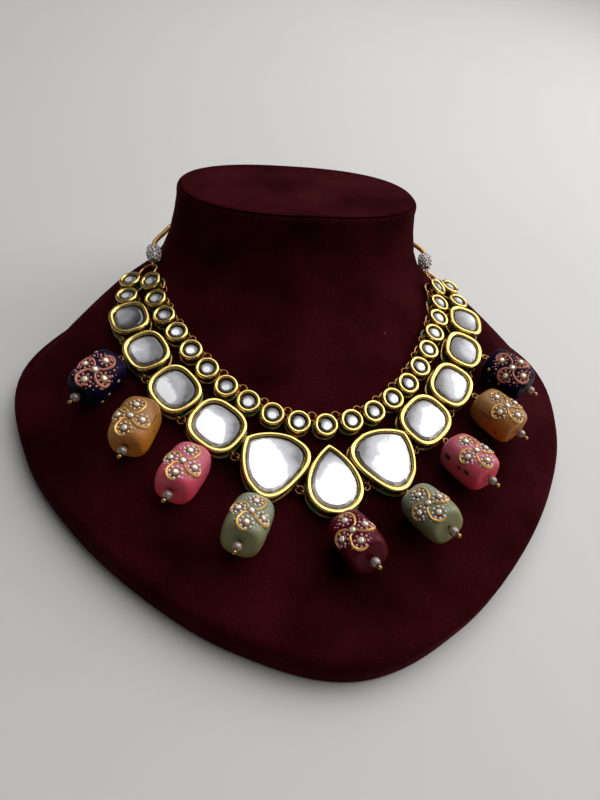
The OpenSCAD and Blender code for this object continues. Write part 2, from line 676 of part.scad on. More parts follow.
bust();
inner_settings();  // inner_row_settings
inner_stones();  // inner_row_stones
inner_rings();  // inner_row_rings
outer_rings();  // outer_row_rings
outer_end_settings();
outer_end_stones();
middle_setting();  // middle_pear_setting
outer_stone(0);  // middle_pear_stone
bead(middle_drop[1], MIDDLE_ROLL, MAROON);  // bead_maroon
pin(middle_drop[1]);  // headpin_maroon
for (side = SIDES) on_side(side) {
    for (i = [1 : len(LARGE)]) {
        outer_setting(i);
        outer_stone(i);
    }
    for (k = [0 : len(TINTS) - 1]) {
        f = (side == "right" ? right_drops : left_drops)[k][1];
        bead(f, DROPS[k][side == "right" ? 2 : 3][1], TINT_COLOURS[k]);
        pin(f);
    }
    end_ring();
    end_loop();
    knot();
    dori();
}
union() {  // pearls
    pearl(middle_drop[1]);
    for (f = right_drops) pearl(f[1]);
    mirror([1, 0, 0]) for (f = left_drops) pearl(f[1]);
}
slide_bead();
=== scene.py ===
import math

import bmesh
import bpy
from mathutils import Matrix, Vector


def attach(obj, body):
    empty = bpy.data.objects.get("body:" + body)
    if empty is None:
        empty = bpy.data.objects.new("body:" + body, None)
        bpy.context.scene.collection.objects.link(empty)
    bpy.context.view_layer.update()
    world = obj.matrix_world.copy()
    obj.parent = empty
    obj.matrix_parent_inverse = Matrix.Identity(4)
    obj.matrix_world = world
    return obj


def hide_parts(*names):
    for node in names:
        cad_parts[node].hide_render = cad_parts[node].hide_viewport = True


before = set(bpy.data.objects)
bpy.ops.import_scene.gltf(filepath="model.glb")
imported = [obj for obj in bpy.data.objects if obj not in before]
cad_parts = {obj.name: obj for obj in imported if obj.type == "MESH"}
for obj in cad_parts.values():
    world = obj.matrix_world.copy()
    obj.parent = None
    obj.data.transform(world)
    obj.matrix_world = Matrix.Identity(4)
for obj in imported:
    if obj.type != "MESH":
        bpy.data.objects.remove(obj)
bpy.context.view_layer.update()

# The necklace is worked out in millimetres, and every mesh is made in metres
MM = 0.001

# Neck bust
BUST_W, BUST_L, RIM_H, RIM_ROUND, FOOT_ROUND = 220, 209, 11, 4, 1.5
NECK_H, NECK_W, NECK_D, NECK_BACK, NECK_TILT, NECK_ROUND = 65, 99, 60, 67, 8, 3
NECK_SQUARE = 2.3
RIM_TURN = 20
# Reach of the rim every RIM_TURN degrees from the front tip to the back
RIM = [1, 0.945, 0.9, 0.905, 0.955, 1.008, 0.955, 0.945, 0.98, 1]
# Rings from the rim to the neck: share of the way in, and height in front, at the sides and behind
SURFACE = [
    (0, 0, 0, 0), (0.1, 0.005, 0.06, 0.03), (0.2, 0.01, 0.13, 0.07), (0.3, 0.025, 0.195, 0.12),
    (0.4, 0.06, 0.255, 0.18), (0.5, 0.135, 0.305, 0.24), (0.6, 0.235, 0.33, 0.29), (0.7, 0.345, 0.35, 0.34),
    (0.8, 0.45, 0.395, 0.4), (0.88, 0.54, 0.475, 0.48), (0.94, 0.64, 0.6, 0.6), (0.98, 0.77, 0.77, 0.77),
    (1, 0.9, 0.9, 0.9),
]
SURFACE_ROWS = len(SURFACE) - 1

# Settings
ROUND_D, ROUND_H, ROUND_LIP, ROUND_GAP = 9.1, 5, 1.7, 0.4
ROUND_R = ROUND_D / 2
SETTING_H, LIP_W, SETTING_GAP, PEAR_NEST = 5.5, 2, 0.6, 0.9
PEAR = (20, 25.5)
FLANK = (25, 23.5)
FLANK_TURN, FLANK_SQUARE, PEAR_POINT = -74, 0.78, 0.7
CUSHION, CUSHION_STEP, CUSHION_SQUARE = (20, 18.5), 0.93, 2.7
FLANGE_H, LIP_H, WAIST_IN, EDGE = 1.1, 1.7, 0.7, 0.4
SEAT_DEPTH, TABLE_DEPTH, CROWN_H, BEVEL_W, ROUND_BEVEL_W, STONE_GAP = 1.8, 0.4, 0.9, 1.3, 1, 0.12
ROUNDS_A_SIDE, CUSHIONS_A_SIDE, END_ROUNDS_A_SIDE = 10, 4, 2

# Wire, drops and ends
WIRE_D, LINK_WIRE_D, EYE_D, EYE_OFF, END_EYE_OFF, PIN_GAP, LIE_GAP = 0.55, 0.5, 1.9, 0.2, 0.8, 0.3, 0.3
POST_SUNK, LINK_STEP, END_EYE_SHIFT = 0.4, 0.1, 1.5
BEAD_L, BEAD_W, BEAD_END_W, BORE_D, BEAD_SWELL, BEAD_CORNER, BEAD_SQUARE = 17.5, 13.5, 9, 1.3, 4, 0.5, 2.8
BEAD_REST = 1.5
PEARL_D, PIN_D, LOOP_D, BALL_D = 3.2, 0.6, 2.2, 1.6
END_RING_D, END_WIRE_D, KNOT_L, KNOT_D, DORI_D, SLIDE_L, SLIDE_D = 8, 0.7, 7, 6.5, 2, 12, 5.5

# Middle lines of the two rows and of the gold cord, on the right half
INNER_ROUTE = [(0, -25), (17.5, -20.5), (32.5, -10.3), (43, 2.2), (52.3, 18.5), (56.5, 30), (57.5, 40)]
OUTER_ROUTE = [
    (0, -44.5), (19, -37.5), (36.7, -24.3), (50, -11.2), (60.5, 6), (67.5, 25), (67.8, 38), (65.3, 50),
]
DORI_ROUTE = [
    (58.9, 57, 39.2), (58.8, 60.2, 41.1), (56.9, 64.6, 41.4), (55.2, 69, 40.5), (52.6, 75.2, 39.9),
    (48.2, 81.6, 39.8), (40.2, 88.4, 40.7), (30.3, 93.5, 42.3), (19.9, 96.7, 44.1), (12.5, 98.8, 45.4),
    (6.5, 100.3, 45.9), (1.5, 100.4, 46),
]
ROUTE_STEP = 0.05
# Drops: number of the setting, place of the eye along its foot, swing and roll on the right and on the left
DROPS = [
    (1, -3, (-14, 26), (-8, 4)),
    (2, -1, (-18, 2), (-15, 2)),
    (3, 1.5, (-26, 4), (-35, -5)),
    (4, 1.5, (-33, 26), (-27, 14)),
]
TINTS = ["green", "pink", "amber", "navy"]
MIDDLE_SWING, MIDDLE_ROLL = 14, 23
LEAN_LOW, LEAN_HIGH, LEAN_HALVINGS, SURFACE_HALVINGS = -15, 60, 7, 14


def sin(a):
    return math.sin(math.radians(a))


def cos(a):
    return math.cos(math.radians(a))


def tan(a):
    return math.tan(math.radians(a))


def spokes(n):
    return [i * 360 / n for i in range(n)]


def curve_at(point, i, t):
    """The smooth curve through point(0), point(1) and on, taken a share t past point i."""
    a, b, c, d = (point(k) for k in range(i - 1, i + 3))
    bend = 2 * a - 5 * b + 4 * c - d
    pull = 3 * b - a - 3 * c + d
    return 0.5 * (2 * b + (c - a) * t + bend * t * t + pull * t * t * t)


def fine_curve(point, spans, steps):
    """Points on the curve from point(0) to point(spans), with so many steps to a span."""
    path = []
    for k in range(spans * steps + 1):
        i = min(k // steps, spans - 1)
        path.append(curve_at(point, i, k / steps - i))
    return path


def search(low, high, halvings, go_on):
    """The value up to which go_on is true, between low and high."""
    for _ in range(halvings):
        mid = (low + high) / 2
        if go_on(mid):
            low = mid
        else:
            high = mid
    return (low + high) / 2


def sign_pow(v, e):
    return math.copysign(abs(v) ** e, v)


# Surface of the bust, with every angle taken from its front tip
def rim_at(i):
    last = len(RIM) - 1
    return RIM[last - abs(last - abs(i))]


def rim_share(a):
    f = abs(a) / RIM_TURN
    i = min(int(f), len(RIM) - 2)
    return curve_at(rim_at, i, f - i)


RIM_REACH = max(rim_share(a) * sin(a) for a in range(80, 121, 2))


def rim_r(a):
    x = sin(a) * 2 * RIM_REACH / BUST_W
    y = cos(a) * 2 / BUST_L
    return rim_share(math.degrees(math.atan2(x, y))) / math.hypot(x, y)


def neck_r(a):
    x = abs(sin(a)) * 2 / NECK_W
    y = abs(cos(a)) * 2 / NECK_D
    return (x ** NECK_SQUARE + y ** NECK_SQUARE) ** (-1 / NECK_SQUARE)


def rise(a):
    return NECK_H - RIM_H + tan(NECK_TILT) * neck_r(a) * cos(a)


def row_value(p, column):
    i = min(int(p), SURFACE_ROWS - 1)
    return SURFACE[i][column] + (SURFACE[i + 1][column] - SURFACE[i][column]) * (p - i)


def ring_r(p, a):
    s = row_value(p, 0)
    return (1 - s) * (rim_r(a) - RIM_ROUND) + s * neck_r(a)


def ring_z(p, a):
    w = cos(a) ** 2
    return RIM_H + rise(a) * (w * row_value(p, 1 if cos(a) > 0 else 3) + (1 - w) * row_value(p, 2))


def ring_y(p):
    return row_value(p, 0) * NECK_BACK


def surface_z(x, y):
    def bearing(p):
        return math.degrees(math.atan2(x, ring_y(p) - y))

    def inside(p):
        return math.hypot(x, y - ring_y(p)) < ring_r(p, bearing(p))

    p = search(0, SURFACE_ROWS, SURFACE_HALVINGS, inside)
    return ring_z(p, bearing(p))


# Outlines of the settings, about their middle
def pear(size, sides, square=1):
    turns = spokes(sides)
    wide = [sign_pow(sin(t), square) * abs(sin(t / 2)) ** PEAR_POINT for t in turns]
    points = []
    for i in range(sides, 0, -1):
        c = cos(turns[i % sides])
        x = wide[i % sides] / max(wide) * size[0] / 2
        points.append((x, (c if c > 0 else sign_pow(c, square)) * size[1] / 2))
    return points


def cushion(size, sides):
    p = 2 / CUSHION_SQUARE
    return [(sign_pow(cos(t), p) * size[0] / 2, sign_pow(sin(t), p) * size[1] / 2) for t in spokes(sides)]


def circle(d, sides):
    return [(d / 2 * cos(t), d / 2 * sin(t)) for t in spokes(sides)]


def raised(points, z):
    return [(x, y, z) for x, y in points]


def turned(points, a):
    return [(x * cos(a) - y * sin(a), x * sin(a) + y * cos(a)) for x, y in points]


def inset(points, d):
    w = max(p[0] for p in points) - min(p[0] for p in points)
    l = max(p[1] for p in points) - min(p[1] for p in points)
    return [(x * (1 - 2 * d / w), y * (1 - 2 * d / l)) for x, y in points]


# Frames: places on a row, with x along the row, y across it and z up from the bust
def make_frame(c, x, y, z):
    return Matrix([(x[k], y[k], z[k], c[k]) for k in range(3)] + [(0, 0, 0, 1)])


def axis(f, k):
    return f.to_3x3().col[k].copy()


def frame_along(c, x, up):
    z = (up - x * up.dot(x)).normalized()
    return make_frame(c, x, z.cross(x), z)


def pin_frame_along(c, z, up):
    y = (up - z * up.dot(z)).normalized()
    return make_frame(c, y.cross(z), y, z)


def at(f, p):
    return f @ Vector(p)


FLIP = Matrix.Diagonal((-1, 1, 1, 1))


def mirrored(f):
    return FLIP @ f @ FLIP


def on_side(f, side):
    return f if side == "right" else mirrored(f)


def route_at(route, i):
    n = len(route) - 1
    if i < 0:
        return Vector((-route[-i][0], route[-i][1]))
    if i > n:
        return 2 * Vector(route[n]) - Vector(route[2 * n - i])
    return Vector(route[i])


def route_xy(route, u):
    i = math.floor(u)
    return curve_at(lambda k: route_at(route, k), i, u - i)


def on_bust(p):
    return Vector((p[0], p[1], surface_z(p[0], p[1])))


def places(route, steps):
    """Places on a route whose distances over the bust are the given steps."""
    found = [0.0]
    for left in steps:
        u = found[-1]
        while True:
            d = (on_bust(route_xy(route, u + ROUTE_STEP)) - on_bust(route_xy(route, u))).length
            if d >= left:
                break
            left -= d
            u += ROUTE_STEP
        found.append(u + ROUTE_STEP * left / d)
    return found


def seat(route, u, half_w, half_l):
    """Frame of a setting that lies on the bust at a place of its route."""
    c = route_xy(route, u)
    d = route_xy(route, u + ROUTE_STEP) - route_xy(route, u - ROUTE_STEP)
    along = d.normalized()
    across = Vector((-along.y, along.x))

    def slope(way, half):
        hi, lo = c + way * half, c - way * half
        return (surface_z(*hi) - surface_z(*lo)) / 2 / half

    x = Vector((along.x, along.y, slope(along, half_w))).normalized()
    z = x.cross(Vector((across.x, across.y, slope(across, half_l)))).normalized()
    y = z.cross(x)
    bumps = [0]
    for a in range(0, 360, 30):
        for f in (0.5, 1):
            q = c + f * (along * half_w * cos(a) + across * half_l * sin(a))
            bumps.append((on_bust(q) - on_bust(c)).dot(z))
    return make_frame(on_bust(c) + z * (LIE_GAP + max(bumps)), x, y, z)


OUTLINE_SIDES = 28
inner_seats = [
    seat(INNER_ROUTE, u, ROUND_R, ROUND_R)
    for u in places(INNER_ROUTE, [ROUND_D + ROUND_GAP] * ROUNDS_A_SIDE)
]
cushion_sizes = [
    (CUSHION[0] * CUSHION_STEP ** k, CUSHION[1] * CUSHION_STEP ** k) for k in range(CUSHIONS_A_SIDE)
]
large_outlines = [pear(PEAR, OUTLINE_SIDES), turned(pear(FLANK, OUTLINE_SIDES, FLANK_SQUARE), FLANK_TURN)]
large_outlines += [cushion(size, OUTLINE_SIDES) for size in cushion_sizes]
round_outline = circle(ROUND_D, OUTLINE_SIDES)
outlines = large_outlines + [round_outline] * END_ROUNDS_A_SIDE
heights = [SETTING_H] * len(large_outlines) + [ROUND_H] * END_ROUNDS_A_SIDE


def reach(points, column, sign):
    return max(sign * p[column] for p in points)


outer_steps = [
    reach(outlines[i - 1], 0, 1) + reach(outlines[i], 0, -1)
    + (SETTING_GAP if i < len(large_outlines) else ROUND_GAP) - (PEAR_NEST if i == 1 else 0)
    for i in range(1, len(outlines))
]
outer_seats = [
    seat(OUTER_ROUTE, u, (reach(o, 0, 1) + reach(o, 0, -1)) / 2, reach(o, 1, -1))
    for u, o in zip(places(OUTER_ROUTE, outer_steps), outlines)
]


# Wire: eyes soldered to the walls, and the rings that run through them
def crossings(points, y):
    found = []
    for i, p in enumerate(points):
        q = points[(i + 1) % len(points)]
        if (p[1] - y) * (q[1] - y) <= 0 and p[1] != q[1]:
            found.append(p[0] + (q[0] - p[0]) * (y - p[1]) / (q[1] - p[1]))
    return found


EYE_REACH = EYE_D / 2 + WIRE_D / 2 + EYE_OFF
END_EYE_REACH = EYE_REACH - EYE_OFF + END_EYE_OFF


def side_eye(s, points, h, y, side, away=EYE_REACH):
    found = crossings(inset(points, WAIST_IN), y)
    wall = max(found) if side > 0 else min(found)
    return at(s, (wall + side * away, y, (FLANGE_H + h - LIP_H) / 2))


def link(s, ps, hs, t, pt, ht, way):
    """Eyes of two neighbouring settings, and the frame of the ring that joins them."""
    y = 0
    while True:
        a = side_eye(s, ps, hs, y, 1)
        b = side_eye(t, pt, ht, y, -1)
        if (b - a).dot(axis(s, 0)) > 0 and (b - a).length >= EYE_D + WIRE_D + PIN_GAP:
            up = (axis(s, 2) + axis(t, 2)).normalized()
            return a, b, frame_along((a + b) / 2, (b - a).normalized(), up)
        y += way * LINK_STEP


inner_links = [
    link(inner_seats[i], round_outline, ROUND_H, inner_seats[i + 1], round_outline, ROUND_H, 1)
    for i in range(ROUNDS_A_SIDE)
]
outer_links = [
    link(outer_seats[i], outlines[i], heights[i], outer_seats[i + 1], outlines[i + 1], heights[i + 1], -1)
    for i in range(len(outlines) - 1)
]
end_eye_in = side_eye(inner_seats[-1], round_outline, ROUND_H, -END_EYE_SHIFT, 1, END_EYE_REACH)
end_eye_out = side_eye(outer_seats[-1], round_outline, ROUND_H, END_EYE_SHIFT, 1, END_EYE_REACH)
end_across = (end_eye_out - end_eye_in).normalized()
end_up = (axis(inner_seats[-1], 2) + axis(outer_seats[-1], 2)).normalized()
end_reach = math.sqrt((END_RING_D / 2) ** 2 - ((end_eye_out - end_eye_in).length / 2) ** 2)
end_frame = frame_along(
    (end_eye_in + end_eye_out) / 2 + end_up.cross(end_across).normalized() * end_reach, end_across, end_up
)
end_loop_c = end_frame.translation + axis(end_frame, 1) * END_RING_D / 2
knot_way = (Vector(DORI_ROUTE[0]) - end_loop_c).normalized()
KNOT_FROM = EYE_D / 2 + WIRE_D / 2 + PIN_GAP
knot_frame = pin_frame_along(end_loop_c + knot_way * (KNOT_FROM + KNOT_L / 2), knot_way, axis(end_frame, 2))

# Drops: the z axis of a drop's frame is its pin, and its origin is the middle of the pin's loop
BEAD_FROM = LOOP_D / 2 + PIN_D / 2 + PIN_GAP
BEAD_MID = BEAD_FROM + BEAD_L / 2
PEARL_MID = BEAD_FROM + BEAD_L + PIN_GAP + PEARL_D / 2
BALL_MID = PEARL_MID + PEARL_D / 2 + BALL_D / 2


def bead_r(t):
    return BEAD_END_W / 2 + (BEAD_W - BEAD_END_W) / 2 * max(0, 1 - abs(t) ** BEAD_SWELL) ** BEAD_CORNER


def pin_frame(c, flat, lean):
    z = flat * cos(lean) + Vector((0, 0, sin(lean)))
    x = Vector((0, 0, 1)).cross(z).normalized()
    return make_frame(c, x, z.cross(x), z)


def bead_reach(t, a):
    return bead_r(t) * (abs(cos(a)) ** BEAD_SQUARE + abs(sin(a)) ** BEAD_SQUARE) ** (-1 / BEAD_SQUARE)


def drop_clearance(f, roll):
    gaps = []
    for t in (-0.9, -0.5, 0, 0.5, 0.9):
        for a in range(-60, 61, 30):
            r = bead_reach(t, a - roll)
            p = at(f, (r * sin(a), -r * cos(a), BEAD_MID + t * BEAD_L / 2))
            gaps.append(p.z - surface_z(p.x, p.y))
    return min(gaps)


def drop_eye(i, along):
    foot = min(crossings([(y, x) for x, y in outlines[i]], along))
    return at(outer_seats[i], (along, foot + EDGE / 2 - EYE_REACH, heights[i] - LIP_H / 2))


def drop(i, along, swing, roll):
    s = outer_seats[i]
    flat = axis(s, 0) * sin(swing) - axis(s, 1) * cos(swing)
    flat.z = 0
    flat.normalize()
    middle = drop_eye(i, along) + LOOP_D / 2 * flat

    def too_low(lean):
        return drop_clearance(pin_frame(middle, flat, lean), roll) < LIE_GAP * BEAD_REST

    return pin_frame(middle, flat, search(LEAN_LOW, LEAN_HIGH, LEAN_HALVINGS, too_low))


drops = {"maroon": (drop(0, 0, MIDDLE_SWING, MIDDLE_ROLL), MIDDLE_ROLL)}
for tint, row in zip(TINTS, DROPS):
    drops[tint + "_right"] = (drop(row[0], row[1], *row[2]), row[2][1])
    drops[tint + "_left"] = (mirrored(drop(row[0], row[1], *row[3])), -row[3][1])


def add_to_scene(obj):
    bpy.context.scene.collection.objects.link(obj)
    return obj


# Camera at the photograph's viewing angle
IMAGE_LONG_SIDE, FOCAL, SENSOR_W = 800, 597, 36
CAMERA_AT = (-50.9, -158.7, 179.6)
CAMERA_TURN, CAMERA_DOWN, CAMERA_ROLL = -16.8, 45.6, 11.1


def set_camera():
    camera = add_to_scene(bpy.data.objects.new("camera", bpy.data.cameras.new("camera")))
    a, e = CAMERA_TURN, CAMERA_DOWN
    back = Vector((sin(a) * cos(e), -cos(a) * cos(e), sin(e)))
    right = Vector((cos(a), sin(a), 0))
    up = back.cross(right)
    r = right * cos(CAMERA_ROLL) + up * sin(CAMERA_ROLL)
    u = up * cos(CAMERA_ROLL) - right * sin(CAMERA_ROLL)
    camera.matrix_world = make_frame(Vector(CAMERA_AT) * MM, r, u, back)
    camera.data.sensor_width = SENSOR_W
    camera.data.lens = FOCAL / IMAGE_LONG_SIDE * SENSOR_W
    camera.data.clip_start = 0.01
    camera.data.clip_end = 10
    bpy.context.scene.camera = camera


set_camera()


# Making meshes
# Angles from which an edge stays sharp, and the distance in which points are one
CRISP, EDGED, SOFT, ALL_ROUND = 40, 50, 60, 180
DOUBLES = 1e-7


def deselect():
    bpy.ops.object.select_all(action="DESELECT")


def only(obj):
    deselect()
    obj.select_set(True)
    bpy.context.view_layer.objects.active = obj


def join(objs, name):
    deselect()
    for o in objs:
        o.select_set(True)
    bpy.context.view_layer.objects.active = objs[0]
    if len(objs) > 1:
        bpy.ops.object.join()
    objs[0].name = name
    objs[0].data.name = name
    return objs[0]


def smooth(obj, angle):
    only(obj)
    bpy.ops.object.shade_smooth_by_angle(angle=math.radians(angle))
    return obj


def flat(obj):
    only(obj)
    bpy.ops.object.shade_flat()
    return obj


def paint(obj, *materials):
    obj.data.materials.clear()
    for m in materials:
        obj.data.materials.append(m)
    return obj


def moved(obj, f):
    """Move the mesh in its object by a frame given in millimetres."""
    f = f.copy()
    f.translation = f.translation * MM
    obj.data.transform(f)
    return obj


def fresh(obj):
    c = obj.copy()
    c.data = obj.data.copy()
    return add_to_scene(c)


def copies(obj, frames, name):
    made = [moved(fresh(obj), f) for f in frames]
    bpy.data.objects.remove(obj)
    return join(made, name)


def shell(name, rings, joined=False, marks=None):
    """A skin drawn ring by ring: every ring is extruded from the one before it."""
    deselect()
    bpy.ops.mesh.primitive_circle_add(vertices=len(rings[0]), radius=MM)
    obj = bpy.context.object
    obj.name = name
    bpy.ops.object.mode_set(mode="EDIT")
    bm = bmesh.from_edit_mesh(obj.data)
    bm.verts.layers.float.new("groove")
    place = bm.verts.layers.int.new("place")
    for i, v in enumerate(bm.verts):
        v[place] = i
    for k, ring in enumerate(rings):
        if k > 0:
            bpy.ops.mesh.extrude_edges_move()
            bm = bmesh.from_edit_mesh(obj.data)
        place = bm.verts.layers.int["place"]
        groove = bm.verts.layers.float["groove"]
        for v in bm.verts:
            if v.select:
                v.co = Vector(ring[v[place]]) * MM
                v[groove] = marks[k] if marks else 0
    if not joined:
        bpy.ops.mesh.edge_face_add()
        bpy.ops.mesh.select_all(action="DESELECT")
        bpy.ops.mesh.select_non_manifold()
        bpy.ops.mesh.edge_face_add()
    bpy.ops.mesh.select_all(action="SELECT")
    bpy.ops.mesh.remove_doubles(threshold=DOUBLES)
    bpy.ops.mesh.normals_make_consistent(inside=False)
    bpy.ops.object.mode_set(mode="OBJECT")
    return obj


def torus(d, wire, around=28, section=10):
    deselect()
    bpy.ops.mesh.primitive_torus_add(
        major_radius=d / 2 * MM, minor_radius=wire / 2 * MM, major_segments=around, minor_segments=section
    )
    return smooth(bpy.context.object, ALL_ROUND)


def rod(d, length, sides=12):
    """A short wire with softened ends, from the origin along +Z."""
    deselect()
    bpy.ops.mesh.primitive_cylinder_add(
        vertices=sides, radius=d / 2 * MM, depth=length * MM, location=(0, 0, length / 2 * MM)
    )
    obj = bpy.context.object
    bpy.ops.object.transform_apply(location=True)
    bevel = obj.modifiers.new("ends", "BEVEL")
    bevel.width = d / 6 * MM
    bevel.segments = 2
    bevel.limit_method = "ANGLE"
    bpy.ops.object.modifier_apply(modifier="ends")
    return smooth(obj, EDGED)


def ball(d, around=16, rows=10):
    deselect()
    bpy.ops.mesh.primitive_uv_sphere_add(segments=around, ring_count=rows, radius=d / 2 * MM)
    return smooth(bpy.context.object, ALL_ROUND)


def mirror_piece(obj):
    obj.data.transform(FLIP)
    obj.data.flip_normals()
    return obj


def shift(x, y, z):
    return Matrix.Translation((x, y, z))


def turn(a, about):
    return Matrix.Rotation(math.radians(a), 4, about)


def finished(obj, nodes):
    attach(obj, "root")
    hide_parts(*nodes)
    return obj


# Materials
BLACK, WHITE = (0, 0, 0), (1, 1, 1)
SMOOTHER, ROUGHER = 0.7, 1.5


def new_material(name):
    m = bpy.data.materials.new(name)
    m.use_nodes = True
    return m, m.node_tree


def feed(tree, socket, value):
    """Link an output to the socket, or set the socket to a number or a colour."""
    if isinstance(value, bpy.types.NodeSocket):
        tree.links.new(value, socket)
    else:
        socket.default_value = (*value, 1) if socket.type == "RGBA" else value


def set_inputs(tree, node, values):
    for key, value in values.items():
        feed(tree, node.inputs[key.replace("_", " ")], value)
    return node


def dress(tree, **values):
    set_inputs(tree, tree.nodes["Principled BSDF"], values)


def add_node(tree, kind, **values):
    return set_inputs(tree, tree.nodes.new("ShaderNode" + kind), values)


def add_group(tree, group, **values):
    node = tree.nodes.new("ShaderNodeGroup")
    node.node_tree = group
    return set_inputs(tree, node, values)


def calculate(tree, operation, *values, clamp=False):
    node = tree.nodes.new("ShaderNodeMath")
    node.operation = operation
    node.use_clamp = clamp
    for socket, value in zip(node.inputs, values):
        feed(tree, socket, value)
    return node.outputs[0]


def noise_on(tree, scale, detail=2):
    place = add_node(tree, "TexCoord").outputs["Object"]
    return add_node(tree, "TexNoise", Vector=place, Scale=scale, Detail=detail).outputs["Fac"]


def ramp(tree, factor, stops):
    node = add_node(tree, "ValToRGB", Fac=factor)
    e = node.color_ramp.elements
    for k in (0, -1):
        e[k].position, e[k].color = stops[k][0], (*stops[k][1], 1)
    for position, colour in stops[1:-1]:
        e.new(position).color = (*colour, 1)
    return node.outputs["Color"]


def attribute(tree, name):
    node = tree.nodes.new("ShaderNodeAttribute")
    node.attribute_name = name
    return node.outputs["Fac"]


def mix_colour(tree, factor, a, b):
    node = tree.nodes.new("ShaderNodeMix")
    node.data_type = "RGBA"
    return set_inputs(tree, node, {"Factor": factor, "A": a, "B": b}).outputs["Result"]


def uneven(tree, mask, low, high):
    """Roughness that wanders between two values."""
    return add_node(tree, "MapRange", Value=mask, To_Min=low, To_Max=high).outputs["Result"]


def group_of(name, inputs, outputs):
    g = bpy.data.node_groups.new(name, "ShaderNodeTree")
    for n, kind, value in inputs:
        s = g.interface.new_socket(n, in_out="INPUT", socket_type="NodeSocket" + kind)
        s.default_value = value
    for n, kind in outputs:
        g.interface.new_socket(n, in_out="OUTPUT", socket_type="NodeSocket" + kind)
    return g, g.nodes.new("NodeGroupInput"), g.nodes.new("NodeGroupOutput")


def make_mottle():
    """Soft cloudy change from one colour to another, by place on the piece."""
    g, start, end = group_of(
        "cloudy colour",
        [("Scale", "Float", 300.0), ("Contrast", "Float", 1.0), ("Colour A", "Color", (1, 1, 1, 1)),
         ("Colour B", "Color", (0, 0, 0, 1))],
        [("Colour", "Color"), ("Mask", "Float")],
    )
    centred = calculate(g, "SUBTRACT", noise_on(g, start.outputs["Scale"], 4), 0.5)
    mask = calculate(g, "MULTIPLY_ADD", centred, start.outputs["Contrast"], 0.5, clamp=True)
    colour = mix_colour(g, mask, start.outputs["Colour A"], start.outputs["Colour B"])
    set_inputs(g, end, {"Colour": colour, "Mask": mask})
    return g


def make_grain():
    """Fine unevenness of a hand-worked surface, as a normal."""
    g, start, end = group_of(
        "hand-worked surface",
        [("Scale", "Float", 800.0), ("Depth", "Float", 0.2)],
        [("Normal", "Vector"), ("Mask", "Float")],
    )
    noise = noise_on(g, start.outputs["Scale"], 3)
    bump = add_node(g, "Bump", Distance=0.0002, Height=noise, Strength=start.outputs["Depth"])
    set_inputs(g, end, {"Normal": bump.outputs["Normal"], "Mask": noise})
    return g


cloudy = make_mottle()
hand_worked = make_grain()


def clouded(tree, scale, contrast, a, b):
    return add_group(tree, cloudy, Scale=scale, Contrast=contrast, Colour_A=a, Colour_B=b)


def hand_finish(tree, scale, depth, low, high):
    """A hand-worked surface, with a roughness that follows it."""
    worn = add_group(tree, hand_worked, Scale=scale, Depth=depth)
    dress(tree, Normal=worn.outputs["Normal"], Roughness=uneven(tree, worn.outputs["Mask"], low, high))


# Painted shade and painted reflection: a brown laid into the grooves and hollows stands in for the dark
# velvet they mirror; the green enamel is real
PAINTED_SHADE_BROWN, ENAMEL_GREEN = (0.22, 0.1, 0.025), (0.004, 0.17, 0.05)
ENAMEL_PATCHES = [(0.54, BLACK), (0.58, WHITE)]


def gold_material(name, bright, deep, roughness, depth=0.12, enamel=False):
    """Polished gold, where asked with painted shade and traces of green enamel in its grooves and hollows."""
    m, tree = new_material(name)
    colour, metallic = clouded(tree, 260.0, 1.6, bright, deep).outputs["Colour"], 1.0
    if enamel:
        groove = attribute(tree, "groove")
        enamelled = calculate(tree, "MULTIPLY", ramp(tree, noise_on(tree, 330), ENAMEL_PATCHES), groove)
        # Painted shade: the groove mark mixes in the brown
        colour = mix_colour(tree, groove, colour, PAINTED_SHADE_BROWN)
        colour = mix_colour(tree, enamelled, colour, ENAMEL_GREEN)
        metallic = calculate(tree, "SUBTRACT", 1.0, enamelled)
    dress(tree, Base_Color=colour, Metallic=metallic)
    hand_finish(tree, 420.0, depth, roughness * SMOOTHER, roughness * ROUGHER)
    return m


setting_gold = gold_material(
    "polished gold with enamel and painted shade", (0.95, 0.72, 0.26), (0.72, 0.48, 0.12), 0.2, 0.1, enamel=True
)
wire_gold = gold_material("wire gold", (0.5, 0.29, 0.09), (0.3, 0.15, 0.04), 0.28)
ring_gold = gold_material("reddish ring gold", (0.55, 0.26, 0.07), (0.3, 0.12, 0.03), 0.33)
end_gold = gold_material("warm gold of the end rings", (0.9, 0.52, 0.16), (0.65, 0.32, 0.08), 0.28)

# Painted reflections in the foil behind the glass: greys from the middle of a stone to its far edge
PAINTED_REFLECTION_GREYS = [
    (0.0, (0.97, 0.97, 0.98)), (0.33, (0.93, 0.93, 0.95)), (0.385, (0.5, 0.5, 0.53)),
    (0.55, (0.33, 0.325, 0.34)), (0.7, (0.13, 0.125, 0.13)), (1.0, (0.04, 0.038, 0.04)),
]
PAINTED_FACET_GREY, REFLECTION_WAVES = (0.07, 0.065, 0.07), 0.24


def stone_material():
    """Foil-backed glass with painted reflections: white in the middle, grey to near black towards the far
    edge, and a painted grey on each facet.
    """
    m, tree = new_material("foil-backed glass")
    wavy = clouded(tree, 150.0, 2.2, BLACK, WHITE).outputs["Mask"]
    across = calculate(tree, "MULTIPLY_ADD", wavy, REFLECTION_WAVES, attribute(tree, "edge"))
    # Painted reflection: the foil's greys and each facet's grey stand in for the light and shade it mirrors
    foil = mix_colour(tree, attribute(tree, "facet"), ramp(tree, across, PAINTED_REFLECTION_GREYS), PAINTED_FACET_GREY)
    dress(tree, Base_Color=foil, Metallic=0.3, Coat_Weight=0.6, Coat_Roughness=0.05)
    hand_finish(tree, 140.0, 0.4, 0.15, 0.32)
    return m


foil_glass = stone_material()

VELVET_LIGHT, VELVET_DARK = (0.066, 0.0045, 0.0075), (0.018, 0.0012, 0.002)
PILE_DARK = (0.01, 0.0008, 0.0013)
LINT, SEAM_DARK, SHEEN_RED = (0.35, 0.22, 0.22), (0.003, 0.0002, 0.0004), (0.5, 0.04, 0.07)


